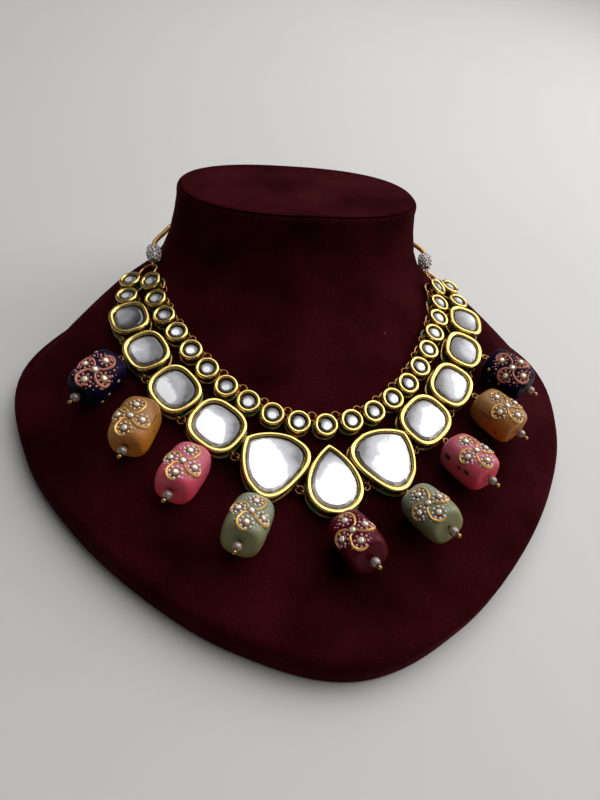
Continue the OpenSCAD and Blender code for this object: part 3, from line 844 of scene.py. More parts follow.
def velvet_material():
    """Deep maroon velvet: brushed patches and fine grain of the pile, specks of lint, and the dark seam."""
    m, tree = new_material("maroon velvet")
    brushed = clouded(tree, 45.0, 2.8, VELVET_LIGHT, VELVET_DARK)
    pile = noise_on(tree, 1500)
    place = add_node(tree, "TexCoord").outputs["Object"]
    speck = add_node(tree, "TexVoronoi", Vector=place, Scale=130).outputs["Distance"]
    lint = ramp(tree, speck, [(0.0, WHITE), (0.035, WHITE), (0.05, BLACK)])
    dusty = ramp(tree, noise_on(tree, 60), [(0.55, BLACK), (0.65, (0.35, 0.35, 0.35))])
    colour = mix_colour(tree, pile, brushed.outputs["Colour"], PILE_DARK)
    colour = mix_colour(tree, calculate(tree, "MULTIPLY", lint, dusty), colour, LINT)
    colour = mix_colour(tree, attribute(tree, "groove"), colour, SEAM_DARK)
    bump = add_node(tree, "Bump", Strength=0.6, Distance=0.0004, Height=pile)
    dress(
        tree, Base_Color=colour, Normal=bump.outputs["Normal"],
        Roughness=uneven(tree, brushed.outputs["Mask"], 0.75, 1.0), Specular_IOR_Level=0.015,
        Sheen_Weight=0.11, Sheen_Roughness=0.35, Sheen_Tint=SHEEN_RED,
    )
    return m


velvet = velvet_material()


def bead_material(name, light, dark, deep, scale, roughness, shine, glow):
    """Tumbled stone with clouds in it and a waxy polish, with painted shade and painted light shining through
    it away from its painted face and towards its far end.
    """
    m, tree = new_material(name)
    cloud = clouded(tree, scale, 2.4, light, dark).outputs["Colour"]
    # Painted shade and glow: the deep colour comes in by the deep mark
    dress(
        tree, Base_Color=mix_colour(tree, attribute(tree, "deep"), cloud, deep),
        Specular_IOR_Level=shine, Coat_Weight=shine / 2, Coat_Roughness=0.12,
    )
    if glow:
        dress(tree, Subsurface_Weight=glow, Subsurface_Scale=0.003, Subsurface_Radius=(1.0, 0.8, 0.5))
    hand_finish(tree, 350.0, 0.1, roughness * SMOOTHER, roughness * ROUGHER)
    return m


# Stones of the beads: light and dark of the clouds, deep colour (painted shade on the sides and underside,
# and painted light shining through at the far end), cloud size, roughness, shine and glow
BEAD_STONES = {
    "maroon": (
        "maroon stone", (0.11, 0.0022, 0.014), (0.05, 0.0012, 0.005), (0.07, 0.0015, 0.005), 90, 0.36, 0.1, 0,
    ),
    "green": ("jade stone", (0.24, 0.28, 0.2), (0.15, 0.17, 0.11), (0.21, 0.19, 0.055), 80, 0.38, 0.3, 0.45),
    "pink": (
        "pink stone", (0.55, 0.12, 0.19), (0.42, 0.062, 0.105), (0.74, 0.05, 0.085), 85, 0.38, 0.3, 0.25,
    ),
    "amber": (
        "amber stone", (0.34, 0.17, 0.05), (0.26, 0.095, 0.013), (0.5, 0.17, 0.01), 80, 0.38, 0.3, 0.45,
    ),
    "navy": (
        "navy stone", (0.007, 0.004, 0.03), (0.003, 0.002, 0.012), (0.002, 0.0015, 0.008), 90, 0.36, 0.035, 0,
    ),
}
bead_materials = {tint: bead_material(*values) for tint, values in BEAD_STONES.items()}


def paint_material(name, colour, shade, metallic, roughness, coat=0):
    """Raised paint laid on by hand; also thread, seed beads and pearls, each with a slight mottle."""
    m, tree = new_material(name)
    tone = clouded(tree, 900.0, 2.0, colour, shade)
    worn = add_group(tree, hand_worked, Scale=1500.0, Depth=0.3)
    dress(
        tree, Base_Color=tone.outputs["Colour"], Normal=worn.outputs["Normal"], Metallic=metallic,
        Roughness=roughness, Coat_Weight=coat,
    )
    return m


gold_paint = paint_material("gold paint", (0.86, 0.52, 0.15), (0.62, 0.31, 0.07), 0.4, 0.34)
cup_gold = paint_material("dark gold of the cups", (0.35, 0.16, 0.05), (0.16, 0.05, 0.02), 0.5, 0.3)
white_paint = paint_material("white paint", (0.8, 0.76, 0.72), (0.6, 0.55, 0.5), 0, 0.35)
pink_paint = paint_material("pale pink paint", (0.72, 0.31, 0.4), (0.5, 0.16, 0.25), 0, 0.35)
coral_paint = paint_material("coral paint", (0.62, 0.24, 0.17), (0.4, 0.12, 0.08), 0, 0.35)
cream_paint = paint_material("cream paint", (0.72, 0.6, 0.4), (0.5, 0.38, 0.2), 0.2, 0.3)
dark_paint = paint_material("dark paint", (0.05, 0.004, 0.008), (0.02, 0.002, 0.004), 0, 0.4)
crystal = paint_material("crystal", (1.0, 0.96, 0.88), (0.8, 0.72, 0.56), 0.35, 0.1)
seed_white = paint_material("silver-white seed bead", (0.86, 0.8, 0.8), (0.55, 0.47, 0.49), 0.35, 0.2)
pearl_grey = paint_material("taupe pearl", (0.38, 0.29, 0.25), (0.22, 0.16, 0.14), 0.35, 0.25, coat=0.6)
dori_gold = paint_material("gold thread", (0.75, 0.42, 0.1), (0.42, 0.2, 0.04), 0.55, 0.4)


# The gold cord on each side, twisted from three strands
CORD_FINE, CORD_STEP, CORD_SIDES, CORD_PITCH = 3, 0.5, 18, 6.5
STRANDS, STRAND_DEPTH = 3, 0.14


def cord_path():
    points = [Vector(p) for p in DORI_ROUTE]
    points = [2 * points[0] - points[1]] + points + [2 * points[-1] - points[-2]]
    return fine_curve(lambda i: points[i + 1], len(DORI_ROUTE) - 1, CORD_FINE)


def along_path(path, step):
    """Points a set distance apart on a path of straight pieces."""
    found, left = [path[0]], step
    for a, b in zip(path, path[1:]):
        d = (b - a).length
        while left <= d:
            found.append(a.lerp(b, left / d))
            left += step
        left -= d
    return found + [path[-1]]


def make_dori(side):
    path = cord_path()
    fine = along_path(path, CORD_STEP)
    rings, done = [], 0
    for k, p in enumerate(fine):
        way = (fine[min(k + 1, len(fine) - 1)] - fine[max(k - 1, 0)]).normalized()
        f = pin_frame_along(p, way, Vector((0, 0, 1)))
        if k:
            done += (p - fine[k - 1]).length
        twist = done / CORD_PITCH * 360
        ring = []
        for a in spokes(CORD_SIDES):
            strand = abs(cos(STRANDS / 2 * (a - twist)))
            r = DORI_D / 2 * (1 - STRAND_DEPTH + STRAND_DEPTH * strand)
            ring.append(at(f, (r * cos(a), r * sin(a), 0)))
        rings.append(ring)
    obj = shell("dori_cord_" + side, rings)
    if side == "left":
        mirror_piece(obj)
    smooth(obj, SOFT)
    paint(obj, dori_gold)
    finished(obj, ["dori_" + side])


make_dori("right")
make_dori("left")


# The bust: one velvet skin from its foot up over the rim and the neck
BUST_SIDES = 144
# Rounded edge of the neck's top with its seam: angle round the edge, how dark, how deep, how wavy
NECK_EDGE = [
    (0, 0, 0, 0), (18, 0, 0, 0), (36, 0, 0, 3), (46, 0.1, 0, 5),
    (53, 1, 0.7, 5), (60, 0.1, 0, 5), (72, 0, 0, 3), (90, 0, 0, 0),
]
# The neck's flat top, from its edge inwards: share of its width and dip
NECK_TOP = [(0.97, 0.05), (0.8, 0), (0.5, 0), (0.2, 0)]
ROWS_FINE, SEAM_WAVES, SEAM_START = 3, 3, 50


def make_bust():
    angles = spokes(BUST_SIDES)

    def level(dy, z, r):
        return [(r(a) * sin(a), dy - r(a) * cos(a), z(a)) for a in angles]

    rings = []
    for a in range(0, 91, 30):
        rings.append(level(
            0, lambda _: FOOT_ROUND * (1 - cos(a)), lambda t: rim_r(t) - FOOT_ROUND * (1 - sin(a))
        ))
    for a in range(0, 91, 18):
        rings.append(level(
            0, lambda _: RIM_H - RIM_ROUND * (1 - sin(a)), lambda t: rim_r(t) - RIM_ROUND * (1 - cos(a))
        ))
    for k in range(1, SURFACE_ROWS * ROWS_FINE + 1):
        p = k / ROWS_FINE
        rings.append(level(ring_y(p), lambda t: ring_z(p, t), lambda t: ring_r(p, t)))
    marks = [0] * len(rings)
    for a, mark, dent, wave in NECK_EDGE:
        def wavy(t):
            return a + wave * sin(SEAM_WAVES * t + SEAM_START)

        def inward(t):
            return NECK_ROUND * (1 - cos(wavy(t))) + dent * cos(a)

        def height(t):
            down = NECK_ROUND * (1 - sin(wavy(t))) + dent * sin(a)
            return NECK_H - down + tan(NECK_TILT) * (neck_r(t) - inward(t)) * cos(t)

        rings.append(level(NECK_BACK, height, lambda t: neck_r(t) - inward(t)))
        marks.append(mark)
    for share, dip in NECK_TOP:
        rings.append(level(
            NECK_BACK,
            lambda t: NECK_H - dip + tan(NECK_TILT) * share * (neck_r(t) - NECK_ROUND) * cos(t),
            lambda t: share * (neck_r(t) - NECK_ROUND),
        ))
        marks.append(0)
    obj = shell("velvet_bust", rings, marks=marks)
    smooth(obj, SOFT)
    paint(obj, velvet)
    return finished(obj, ["bust"])


make_bust()

# Settings: rows of height, inset and painted shade, from the foot up over the lip and down to the stone's
# seat
WALL_FOOT = [
    (0, 0.55, 0.4), (0.05, 0.22, 0.3), (0.2, 0.05, 0.2), (0.45, 0, 0.1), (0.8, 0, 0.1), (1.0, 0.06, 0.3),
    (1.1, 0.28, 0.8), (1.2, 0.6, 1), (1.5, 0.72, 1),
]


def wall_rows(h, lip):
    low = h - LIP_H
    return WALL_FOOT + [
        (low - 0.5, 0.72, 1), (low - 0.15, 0.62, 1), (low + 0.05, 0.36, 0.6), (low + 0.25, 0.22, 0.15),
        (h - 1.0, 0.2, 0), (h - 0.55, 0.24, 0), (h - 0.28, 0.36, 0), (h - 0.1, 0.56, 0), (h, 0.85, 0),
        (h, lip * 0.58, 0), (h - 0.07, lip * 0.72, 0), (h - 0.22, lip * 0.86, 0),
        (h - 0.45, lip * 0.95, 0.15), (h - 0.8, lip * 0.99, 0.6), (h - SEAT_DEPTH, lip, 0.9),
    ]


def make_wall(points, h, lip):
    rows = wall_rows(h, lip)
    rings = [raised(inset(points, d), z) for z, d, _ in rows]
    wall = shell("wall", rings, marks=[mark for _, _, mark in rows])
    return paint(smooth(wall, EDGED), setting_gold)


# Painted reflection on the stones: a grey on each facet, and a grey that grows towards the back and the left
FACET_TONE, FACET_SPREAD, GREY_BACK, GREY_LEFT = 0.35, 0.3, 0.42, 0.22


def mark_points(obj, name, share):
    """Give each point of the mesh a share from 0 to 1, by its place in millimetres."""
    layer = obj.data.attributes.new(name, "FLOAT", "POINT")
    for v in obj.data.vertices:
        layer.data[v.index].value = max(0, min(1, share(v.co / MM)))


def make_stone(points, h, lip, bevel, grey_in, rim):
    """A flat table inside a band of narrow facets, each facet with its own painted grey of reflection."""
    table_z = h - TABLE_DEPTH
    rows = [
        (h - SEAT_DEPTH + STONE_GAP, lip + STONE_GAP), (table_z - CROWN_H, lip + STONE_GAP),
        (table_z - CROWN_H * 0.3, lip + bevel * 0.45), (table_z, lip + bevel),
    ]
    rings = [raised(inset(points, d), z) for z, d in rows]
    table = rings[-1]
    for share in (0.8, 0.6, 0.4, 0.2):
        rings.append([(x * share, y * share, table_z) for x, y, _ in table])
    stone = flat(shell("stone", rings))
    mesh = stone.data
    facet = mesh.attributes.new("facet", "FLOAT", "FACE")
    for poly in mesh.polygons:
        steep = 1 - abs(poly.normal.z)
        tone = FACET_TONE + FACET_SPREAD * math.sin(poly.index * 2.3)
        facet.data[poly.index].value = 0 if steep < 0.01 else tone
    width = max(math.hypot(x, y) for x, y, _ in rings[1])

    # Painted reflection: grey grows towards the rim, the back and the left of the stone
    def grey(p):
        x, y = p.x / width, p.y / width
        return math.hypot(x, y) ** 3 * rim + y * GREY_BACK - x * GREY_LEFT + grey_in

    mark_points(stone, "edge", grey)
    return paint(stone, foil_glass)


FINE_SIDES, STONE_SIDES = 84, 20
ROUND_SIDES, ROUND_STONE_SIDES = 40, 12
# How far the painted grey of reflection comes in from the far edge of each stone, and how much from its rim
ROUND_GREY_IN, ROUND_RIM = 0.15, 1.1
STONE_GREY_IN, RIM_GREY = [0.06, 0.06, 0.13, 0.24, 0.42, 0.48], 0.3
small_wall = make_wall(circle(ROUND_D, ROUND_SIDES), ROUND_H, ROUND_LIP)
small_stone = make_stone(
    circle(ROUND_D, ROUND_STONE_SIDES), ROUND_H, ROUND_LIP, ROUND_BEVEL_W, ROUND_GREY_IN, ROUND_RIM
)



# Eyes and their posts
def eye_and_post(c, out, plane_x, plane_z, into, length):
    eye = moved(torus(EYE_D, WIRE_D, 20, 8), frame_along(c, plane_x, plane_z))
    start = c + out * EYE_D / 2
    post = moved(rod(WIRE_D, length - (start - c).dot(into), 8), pin_frame_along(start, into, plane_z))
    return [paint(eye, wire_gold), paint(post, wire_gold)]


def link_eye(s, l, side):
    out = (l[side] - l[2].translation).normalized()
    into = -axis(s, 0) if side == 0 else axis(s, 0)
    return eye_and_post(l[side], out, axis(l[2], 0), axis(l[2], 1), into, EYE_REACH + POST_SUNK)


def end_eye(s, c):
    out = (c - end_frame.translation).normalized()
    return eye_and_post(c, out, out, axis(end_frame, 2).cross(out), -axis(s, 0), END_EYE_REACH + POST_SUNK)


def foot_eye(i, along):
    x, y, z = (axis(outer_seats[i], k) for k in range(3))
    return eye_and_post(drop_eye(i, along), y, x, z, y, EYE_REACH + POST_SUNK)


def both_sides(make):
    return make() + [mirror_piece(o) for o in make()]


def inner_eyes():
    parts = []
    for i in range(ROUNDS_A_SIDE + 1):
        if i < ROUNDS_A_SIDE:
            parts += link_eye(inner_seats[i], inner_links[i], 0)
        if i > 0:
            parts += link_eye(inner_seats[i], inner_links[i - 1], 1)
    return parts + end_eye(inner_seats[-1], end_eye_in)


def outer_eyes(i):
    parts = []
    if i < len(outlines) - 1:
        parts += link_eye(outer_seats[i], outer_links[i], 0)
    if i > 0:
        parts += link_eye(outer_seats[i], outer_links[i - 1], 1)
    if i == len(outlines) - 1:
        parts += end_eye(outer_seats[i], end_eye_out)
    for row in DROPS:
        if row[0] == i:
            parts += foot_eye(i, row[1])
    return parts


def end_rounds_eyes():
    return [part for i in range(len(large_outlines), len(outlines)) for part in outer_eyes(i)]


def make_rounds(row, seats, mirrored_seats, make_eyes):
    seats = seats + [mirrored(s) for s in mirrored_seats]
    walls = copies(fresh(small_wall), seats, "walls")
    stones = copies(fresh(small_stone), seats, row + "_glass")
    finished(join([walls] + both_sides(make_eyes), row + "_walls"), [row + "_settings"])
    finished(stones, [row + "_stones"])


ends = outer_seats[len(large_outlines):]
make_rounds("inner_row", inner_seats, inner_seats[1:], inner_eyes)
make_rounds("outer_end", ends, ends, end_rounds_eyes)
bpy.data.objects.remove(small_wall)
bpy.data.objects.remove(small_stone)

LARGE = ["middle_pear", "flank_pear", "cushion_1", "cushion_2", "cushion_3", "cushion_4"]


def large_outline(i, sides):
    if i == 0:
        return pear(PEAR, sides)
    if i == 1:
        return turned(pear(FLANK, sides, FLANK_SQUARE), FLANK_TURN)
    return cushion(cushion_sizes[i - 2], sides)


def make_large(i, side):
    name = LARGE[i] if i == 0 else LARGE[i] + "_" + side
    seat_frame = outer_seats[i]
    wall = moved(make_wall(large_outline(i, FINE_SIDES), SETTING_H, LIP_W), seat_frame)
    stone = make_stone(large_outline(i, STONE_SIDES), SETTING_H, LIP_W, BEVEL_W, STONE_GREY_IN[i], RIM_GREY)
    moved(stone, seat_frame)
    parts = [wall] + outer_eyes(i)
    if i == 0:
        parts += foot_eye(0, 0)
        parts += [mirror_piece(o) for o in outer_eyes(0)]
    setting = join(parts, name + "_wall")
    if side == "left":
        mirror_piece(setting)
        mirror_piece(stone)
    finished(setting, [name + "_setting"])
    stone.name = name + "_glass"
    finished(stone, [name + "_stone"])


make_large(0, "right")
for side in ("right", "left"):
    for i in range(1, len(LARGE)):
        make_large(i, side)


# Rings that join the settings
def row_rings(links, name, node):
    made = []
    for l in links:
        for f in (l[2], mirrored(l[2])):
            made.append(moved(torus((l[1] - l[0]).length, LINK_WIRE_D, 24, 8), f))
    return finished(paint(join(made, name), ring_gold), [node])


row_rings(inner_links, "inner_row_wire_rings", "inner_row_rings")
row_rings(outer_links, "outer_row_wire_rings", "outer_row_rings")


# Beads: a tumbled body, drilled along its length, and the ornament painted on its front face
# Walk over the skin, in shares of the half length: its step, its end, and how near the skin's slope is taken
SKIN_STEP, SKIN_END, SKIN_NEAR = 0.004, 0.98, 0.02
# Rows of one half of the skin
BEAD_ROWS = [-1, -0.985, -0.96, -0.92, -0.86, -0.78, -0.68, -0.55, -0.4, -0.2, 0]
BEAD_SIDES, BORE_R = 40, BORE_D / 2
# Rows from the bead's end into its bore: place along and radius
BORE_MOUTH = [(1, 3), (1, BORE_R + 0.5), (1, BORE_R + 0.2), (0.985, BORE_R)]


def bead_point(a, t):
    """A point of the bead's skin: a is the angle from its painted face, t runs from -1 to 1 along it."""
    r = bead_reach(t, a)
    return Vector((r * sin(a), r * cos(a), t * BEAD_L / 2))


def skin_share(distance):
    """How far along the bead, from -1 to 1, a point lies at that distance from the middle, over the skin."""
    t, walked, last = 0.0, 0.0, bead_point(0, 0)
    while walked < abs(distance) and t < SKIN_END:
        t += SKIN_STEP
        here = bead_point(0, t)
        walked += (here - last).length
        last = here
    return math.copysign(t, distance)


def bead_frame(across, along, face=0):
    """Frame on the skin at a place given in millimetres round and along the bead, with z outwards."""
    t = skin_share(along)
    a = face + math.degrees(across / bead_r(t))
    p = bead_point(a, t)
    x = (bead_point(a + 1, t) - bead_point(a - 1, t)).normalized()
    y = (bead_point(a, t + SKIN_NEAR) - bead_point(a, t - SKIN_NEAR)).normalized()
    out = x.cross(y)
    return frame_along(p, x, out if out.dot(Vector((p.x, p.y, 0))) > 0 else -out)


def bead_body(tint):
    shares = BEAD_ROWS + [-t for t in reversed(BEAD_ROWS[:-1])]
    angles = spokes(BEAD_SIDES)
    rings = [[bead_point(a, t) for a in angles] for t in shares]
    for t, r in BORE_MOUTH + [(-t, r) for t, r in reversed(BORE_MOUTH)]:
        rings.append([(r * sin(a), r * cos(a), t * BEAD_L / 2) for a in angles])
    rings.append(rings[0])
    body = smooth(shell("bead", rings, joined=True), EDGED)
    # Painted shade on the sides and underside and painted light shining through at the far end: the deep mark
    # grows away from the painted face and towards the far end
    mark_points(body, "deep", lambda p: 0.5 - p.y / BEAD_W + 0.7 * p.z / BEAD_L)
    return paint(body, bead_materials[tint])


def dome(d, high, sides=7):
    """A raised drop of paint."""
    rows = ((0.9, -0.4), (1, 0), (0.85, 0.55), (0.45, 0.92))
    return smooth(shell("dome", [raised(circle(d * k, sides), z * high) for k, z in rows]), ALL_ROUND)


def brilliant(d):
    """A small cut crystal: table, eight crown facets and a girdle."""
    rings = []
    for k, z, turn_by in ((0.95, -0.1, 0), (1, 0.12, 0), (0.8, 0.27, 22.5), (0.5, 0.36, 0)):
        rings.append([(d / 2 * k * cos(a + turn_by), d / 2 * k * sin(a + turn_by), z * d) for a in spokes(8)])
    return flat(shell("brilliant", rings))


CRYSTAL_D, CUP_D, CUP_WIRE = 2.0, 2.5, 0.55
CRYSTAL_ALONG, CRYSTAL_ACROSS, ORNAMENT_SHIFT = 5.0, 4.0, 1.5
DOTS_ROUND_A_CRYSTAL, DOT_RING_R, CURL_R = 8, 1.95, 2.75
DOT_D, DOT_H, SMALL_DOT_D, SMALL_DOT_H = 1.0, 0.42, 0.5, 0.25
STROKE_W, STROKE_FINE, STROKE_LIFT = 1.1, 3, 0.02
PETALS = [-90, 5, 90, 178]
# Ovals of dots about the middle crystal: radius across, radius along, first angle and step
INNER_OVAL, SPARSE_OVAL = (1.6, 1.6, 27, 90), (5.2, 7, 12, 24)
DENSE_OVAL, DENSE_SMALL_OVAL = (5.4, 6.6, 0, 20), (6.4, 7.5, 10, 20)
# Small dots beside a curl: share of its radius, and angle from the petal's
BESIDE_CURL, DOTS_TURN = [(0.95, -75), (1.1, -100)], 17
# A curl round its crystal: share of the curl's radius, and angle from the petal's
CURL_TURNS = [(1.05, 100), (1, 68), (0.97, 38), (0.92, 8), (0.84, -22)]


def around(centre, r, a):
    return centre[0] + r * cos(a), centre[1] + r * sin(a)


PETAL_CENTRES = [(CRYSTAL_ACROSS * cos(a), CRYSTAL_ALONG * sin(a)) for a in PETALS]


def painted(across, along):
    return bead_frame(across, along + ORNAMENT_SHIFT)


def curl(a, centre):
    """A comma that leaves the middle crystal and curls round the outer one."""
    stem = [around((0, 0), 1.5, a + 42), around((0, 0), 2.8, a + 46)]
    return stem + [around(centre, CURL_R * share, a + by) for share, by in CURL_TURNS]


def comma_stroke(points, material):
    """A stroke of raised paint that follows the bead's skin."""
    curve = bpy.data.curves.new("stroke", "CURVE")
    curve.dimensions = "3D"
    spline = curve.splines.new("POLY")
    last = len(points) - 1
    fine = fine_curve(lambda i: Vector(points[max(0, min(i, last))]), last, STROKE_FINE)
    spline.points.add(len(fine) - 1)
    for k, (p, q) in enumerate(zip(spline.points, fine)):
        p.co = (*(at(painted(q.x, q.y), (0, 0, STROKE_LIFT)) * MM), 1)
        share = k / (len(fine) - 1)
        p.radius = 0.4 + 0.6 * math.sin(math.pi * min(1, share * 0.8 + 0.08))
    curve.bevel_depth = STROKE_W / 2 * MM
    curve.bevel_resolution = 1
    curve.use_fill_caps = True
    only(add_to_scene(bpy.data.objects.new("stroke", curve)))
    bpy.ops.object.convert(target="MESH")
    return paint(smooth(bpy.context.object, SOFT), material)


def oval(across, along, first, step):
    return [painted(across * cos(a), along * sin(a)) for a in range(first, 360, step)]


def ornament(dot_material, small_material, stroke_material, dense):
    gem_frames = [painted(x, y) for x, y in [(0, 0)] + PETAL_CENTRES]
    dots, small = [], []
    for k, centre in enumerate(PETAL_CENTRES):
        for a in spokes(DOTS_ROUND_A_CRYSTAL):
            dots.append(painted(*around(centre, DOT_RING_R, a + k * DOTS_TURN)))
        small += [painted(*around(centre, CURL_R * share, PETALS[k] + by)) for share, by in BESIDE_CURL]
    small += oval(*SPARSE_OVAL)
    small += oval(*INNER_OVAL)
    if dense:
        dots += oval(*DENSE_OVAL)
        small += oval(*DENSE_SMALL_OVAL)
    cup = paint(moved(torus(CUP_D, CUP_WIRE, 14, 6), shift(0, 0, 0.05)), cup_gold)
    parts = [
        copies(cup, gem_frames, "cups"),
        copies(paint(brilliant(CRYSTAL_D), crystal), gem_frames, "gems"),
        copies(paint(dome(DOT_D, DOT_H), dot_material), dots, "dots"),
        copies(paint(dome(SMALL_DOT_D, SMALL_DOT_H, 6), small_material), small, "small_dots"),
    ]
    for a, centre in zip(PETALS, PETAL_CENTRES):
        parts.append(comma_stroke(curl(a, centre), stroke_material))
    return parts


DOT_MATERIALS = {
    "maroon": pink_paint, "green": white_paint, "pink": white_paint, "amber": cream_paint,
    "navy": coral_paint,
}
# Dark inclusions and slits on the sides: angle from the painted face, place along, width and length
SIDE_MARKS = {
    "maroon": [],
    "green_right": [(-82, -5, 0.7, 1.2), (-86, 0.5, 0.5, 2.0), (-80, 4.5, 0.5, 2.2), (-42, -2, 0.8, 0.9)],
    "green_left": [(74, -2.5, 0.6, 1.4), (80, 3, 0.5, 1.6)],
    "pink_right": [(-72, -4.5, 2.0, 2.7), (-76, 1.2, 1.3, 1.8), (-72, 4.4, 1.4, 2.4)],
    "pink_left": [(96, -3, 0.8, 1.2), (92, 3.5, 0.7, 1.4)],
    "amber_right": [(-66, -1.5, 0.5, 6.0), (-98, 4.5, 1.0, 1.0)],
    "amber_left": [(62, -1.5, 0.4, 5.4), (92, 0.5, 0.9, 0.9), (86, 4.8, 0.6, 0.7)],
    "navy_right": [],
    "navy_left": [],
}
LOOSE_DOT_D, SIDE_SPOT_H = 1.3, 0.09
LOOSE_DOTS = [(72, -2.5), (96, 2.0), (-70, 1.0), (-95, -3.5), (110, 5.0), (-120, 3.0), (50, 4.5), (-48, -5.0)]


def side_marks(key):
    parts = []
    for a, along, width, length in SIDE_MARKS[key]:
        spot = paint(dome(1, SIDE_SPOT_H, 12), dark_paint)
        moved(spot, Matrix.Diagonal((width, length, 1, 1)))
        parts.append(moved(spot, bead_frame(0, along, a)))
    if key.startswith("navy"):
        for a, along in LOOSE_DOTS:
            parts.append(moved(paint(dome(LOOSE_DOT_D, 0.25, 10), gold_paint), bead_frame(0, along, a)))
    return parts


def make_bead(key):
    tint = key.split("_")[0]
    f, roll = drops[key]
    dot_material = DOT_MATERIALS[tint]
    if tint == "navy":
        painting = ornament(dot_material, pink_paint, coral_paint, True)
    else:
        painting = ornament(dot_material, dot_material, gold_paint, False)
    parts = [bead_body(tint)] + painting + side_marks(key)
    bead = join(parts, key + "_bead")
    moved(bead, f @ shift(0, 0, BEAD_MID) @ turn(roll, "Z"))
    return finished(bead, ["bead_" + key])


def make_headpin(key):
    f, _ = drops[key]
    loop = moved(torus(LOOP_D, PIN_D, 22, 8), turn(90, "Y"))
    pin = moved(rod(PIN_D, BALL_MID - LOOP_D / 2, 10), shift(0, 0, LOOP_D / 2))
    end = moved(ball(BALL_D, 16, 10), shift(0, 0, BALL_MID))
    whole = paint(join([loop, pin, end], key + "_wire"), wire_gold)
    return finished(moved(whole, f), ["headpin_" + key])


PEARL_SIDES, PEARL_ROWS = 24, 12


def make_pearls():
    r = PEARL_D / 2
    start = math.degrees(math.asin(BORE_R / r))
    rings = []
    for k in range(PEARL_ROWS + 1):
        a = start + (180 - 2 * start) * k / PEARL_ROWS
        rings.append(raised(circle(PEARL_D * sin(a), PEARL_SIDES), r * cos(a)))
    rings.append(rings[0])
    one = paint(smooth(shell("pearl", rings, joined=True), SOFT), pearl_grey)
    frames = [f @ shift(0, 0, PEARL_MID) for f, _ in drops.values()]
    return finished(copies(one, frames, "end_pearls"), ["pearls"])


for key in drops:
    make_bead(key)
    make_headpin(key)
make_pearls()


# Ends: gathering ring, wire loop, seed-bead knot and slide bead
SEED_D, SEED_WIRE, SEED_GAP = 0.66, 0.6, 1.2
SEED_ROWS, SEED_ROW_GAP, SEED_SUNK = 6, 1.12, 0.58
SEED_LIFT, SEED_TIP, SEED_SPIN = 0.3, 35, 25
CORE_SIDES, CORE_ROWS, CORE_GAP, CORE_MOUTH, CORE_SHORT, CORE_THIN = 20, 8, 0.15, 0.2, 0.4, 1


def knot_core():
    hole, end, widest = DORI_D / 2 + CORE_GAP, KNOT_L / 2 - CORE_SHORT, KNOT_D / 2 - CORE_THIN
    mouth = hole + CORE_MOUTH
    rings = []
    for k in range(CORE_ROWS + 1):
        t = -1 + 2 * k / CORE_ROWS
        r = mouth + (widest - mouth) * math.sqrt(max(0, 1 - t * t * 0.98))
        rings.append(raised(circle(2 * r, CORE_SIDES), t * end))
    rings += [raised(circle(2 * hole, CORE_SIDES), z) for z in (end, -end)]
    rings.append(rings[0])
    return paint(smooth(shell("core", rings, joined=True), EDGED), seed_white)


def make_knot(side):
    """Small silver-white beads wound closely round a core of thread."""
    core = knot_core()
    seed = paint(moved(torus(SEED_D, SEED_WIRE, 10, 6), turn(90, "X")), seed_white)
    frames = []
    for k in range(SEED_ROWS):
        z = (k - (SEED_ROWS - 1) / 2) * SEED_ROW_GAP
        r = (KNOT_D / 2 - SEED_SUNK) * math.sqrt(max(0, 1 - (z / (KNOT_L / 2 + CORE_SHORT)) ** 2))
        n = round(2 * math.pi * r / SEED_GAP)
        for j in range(n):
            lift = SEED_LIFT * math.sin(j * 2.7 + k * 1.9)
            tip = turn(SEED_TIP * math.sin(j * 2.1 + k), "X")
            spin = turn(SEED_SPIN * math.sin(j * 3.7 + k * 1.3), "Z")
            place = turn((j + k * 0.5) * 360 / n, "Z") @ shift(r - abs(lift) * 0.4, 0, z + lift)
            frames.append(place @ tip @ spin)
    beads = copies(seed, frames, "seeds")
    knot = moved(join([core, beads], "seed_bead_knot_" + side), on_side(knot_frame, side))
    return finished(knot, ["seed_knot_" + side])


def make_ends(side):
    ring = paint(moved(torus(END_RING_D, END_WIRE_D, 48, 12), on_side(end_frame, side)), end_gold)
    ring.name = "gathering_ring_" + side
    finished(ring, ["end_ring_" + side])
    f = pin_frame_along(end_loop_c, knot_way, axis(end_frame, 2))
    loop = moved(torus(EYE_D, WIRE_D, 24, 10), make_frame((0, 0, 0), (0, 0, 1), (0, 1, 0), (-1, 0, 0)))
    shank = moved(rod(WIRE_D, KNOT_FROM + KNOT_L * 0.3 - EYE_D / 2, 10), shift(0, 0, EYE_D / 2))
    loop = paint(join([loop, shank], "knot_loop_" + side), end_gold)
    finished(moved(loop, on_side(f, side)), ["end_loop_" + side])
    make_knot(side)


make_ends("right")
make_ends("left")


SLIDE_SIDES, SLIDE_R, SLIDE_HOLE, SLIDE_END = 40, SLIDE_D / 2, DORI_D / 2 + PIN_GAP, SLIDE_L / 2
# Half of the slide's outline, inwards from its end: place along, radius and painted shade in its grooves
SLIDE_ROWS = [
    (SLIDE_END, SLIDE_HOLE + 0.3, 0), (SLIDE_END, SLIDE_R - 0.5, 0), (SLIDE_END - 0.15, SLIDE_R - 0.2, 1),
    (SLIDE_END - 0.45, SLIDE_R, 0), (SLIDE_END - 1.2, SLIDE_R, 0), (SLIDE_END - 1.4, SLIDE_R - 0.25, 1),
    (SLIDE_END - 1.7, SLIDE_R - 0.25, 1), (SLIDE_END - 1.9, SLIDE_R, 0), (2.2, SLIDE_R, 0),
    (1.9, SLIDE_R - 0.2, 1), (1.6, SLIDE_R - 0.2, 1), (1.3, SLIDE_R, 0),
]


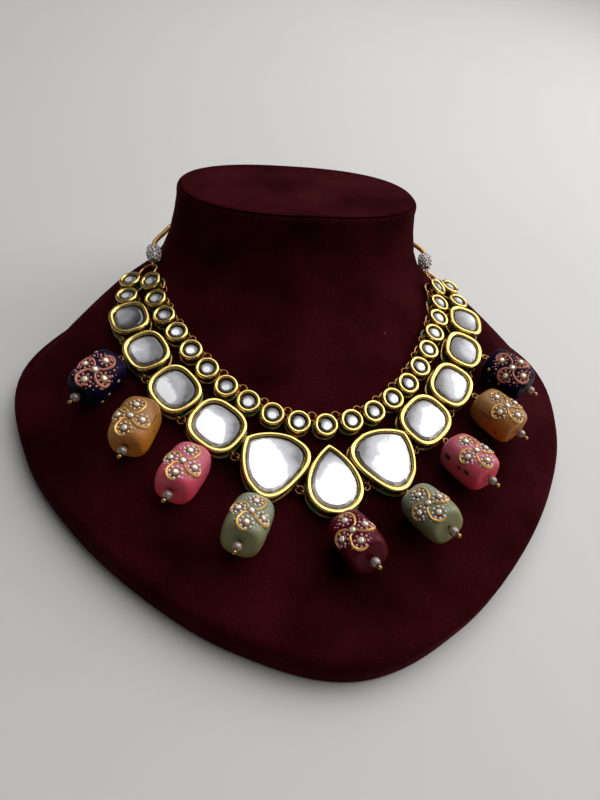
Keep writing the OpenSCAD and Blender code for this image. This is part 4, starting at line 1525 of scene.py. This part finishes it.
def make_slide_bead():
    """A plain gold slide with turned grooves near its ends."""
    rows = [(-x, d, mark) for x, d, mark in SLIDE_ROWS] + SLIDE_ROWS[::-1]
    # Painted shade down the bore
    rows += [(SLIDE_END - 0.3, SLIDE_HOLE, 1), (0.3 - SLIDE_END, SLIDE_HOLE, 1), rows[0]]
    rings = [[(x, d * cos(a), d * sin(a)) for a in spokes(SLIDE_SIDES)] for x, d, _ in rows]
    obj = smooth(shell("gold_slide", rings, joined=True, marks=[mark for _, _, mark in rows]), CRISP)
    moved(obj, shift(0, *DORI_ROUTE[-1][1:]))
    return finished(paint(obj, setting_gold), ["slide_bead"])


make_slide_bead()


# Floor and light
FLOOR_SIZE, FLOOR_LIGHT, FLOOR_DARK = 6, (0.62, 0.61, 0.59), (0.57, 0.56, 0.545)
SKY, SKY_POWER = (0.75, 0.77, 0.8), 0.115
LOOK_AT = (0, 0, 0.03)
# Name, size, power and place of each light
LIGHTS = [
    ("overhead", (1.8, 1.4), 17, (0.45, 0.3, 0.9)),
    ("right fill", (0.5, 0.6), 2.2, (0.8, 0.1, 0.35)),
    ("front fill", (0.9, 0.4), 0.12, (0.1, -0.8, 0.6)),
]


def make_floor():
    deselect()
    bpy.ops.mesh.primitive_plane_add(size=FLOOR_SIZE)
    floor = bpy.context.object
    floor.name = "floor"
    m, tree = new_material("pale floor")
    dress(tree, Base_Color=clouded(tree, 6.0, 0.6, FLOOR_LIGHT, FLOOR_DARK).outputs["Colour"], Roughness=0.7)
    paint(floor, m)


def soft_light(name, size, power, place):
    light = bpy.data.lights.new(name, "AREA")
    light.shape = "RECTANGLE"
    light.size, light.size_y = size
    light.energy = power
    obj = add_to_scene(bpy.data.objects.new(name, light))
    obj.location = place
    obj.rotation_mode = "QUATERNION"
    obj.rotation_quaternion = (Vector(LOOK_AT) - Vector(place)).to_track_quat("-Z", "Y")


make_floor()
for row in LIGHTS:
    soft_light(*row)
world = bpy.data.worlds.new("studio")
bpy.context.scene.world = world
world.use_nodes = True
sky = world.node_tree
set_inputs(sky, sky.nodes["Background"], {"Color": SKY, "Strength": SKY_POWER})
bpy.context.scene.view_settings.view_transform = "Standard"
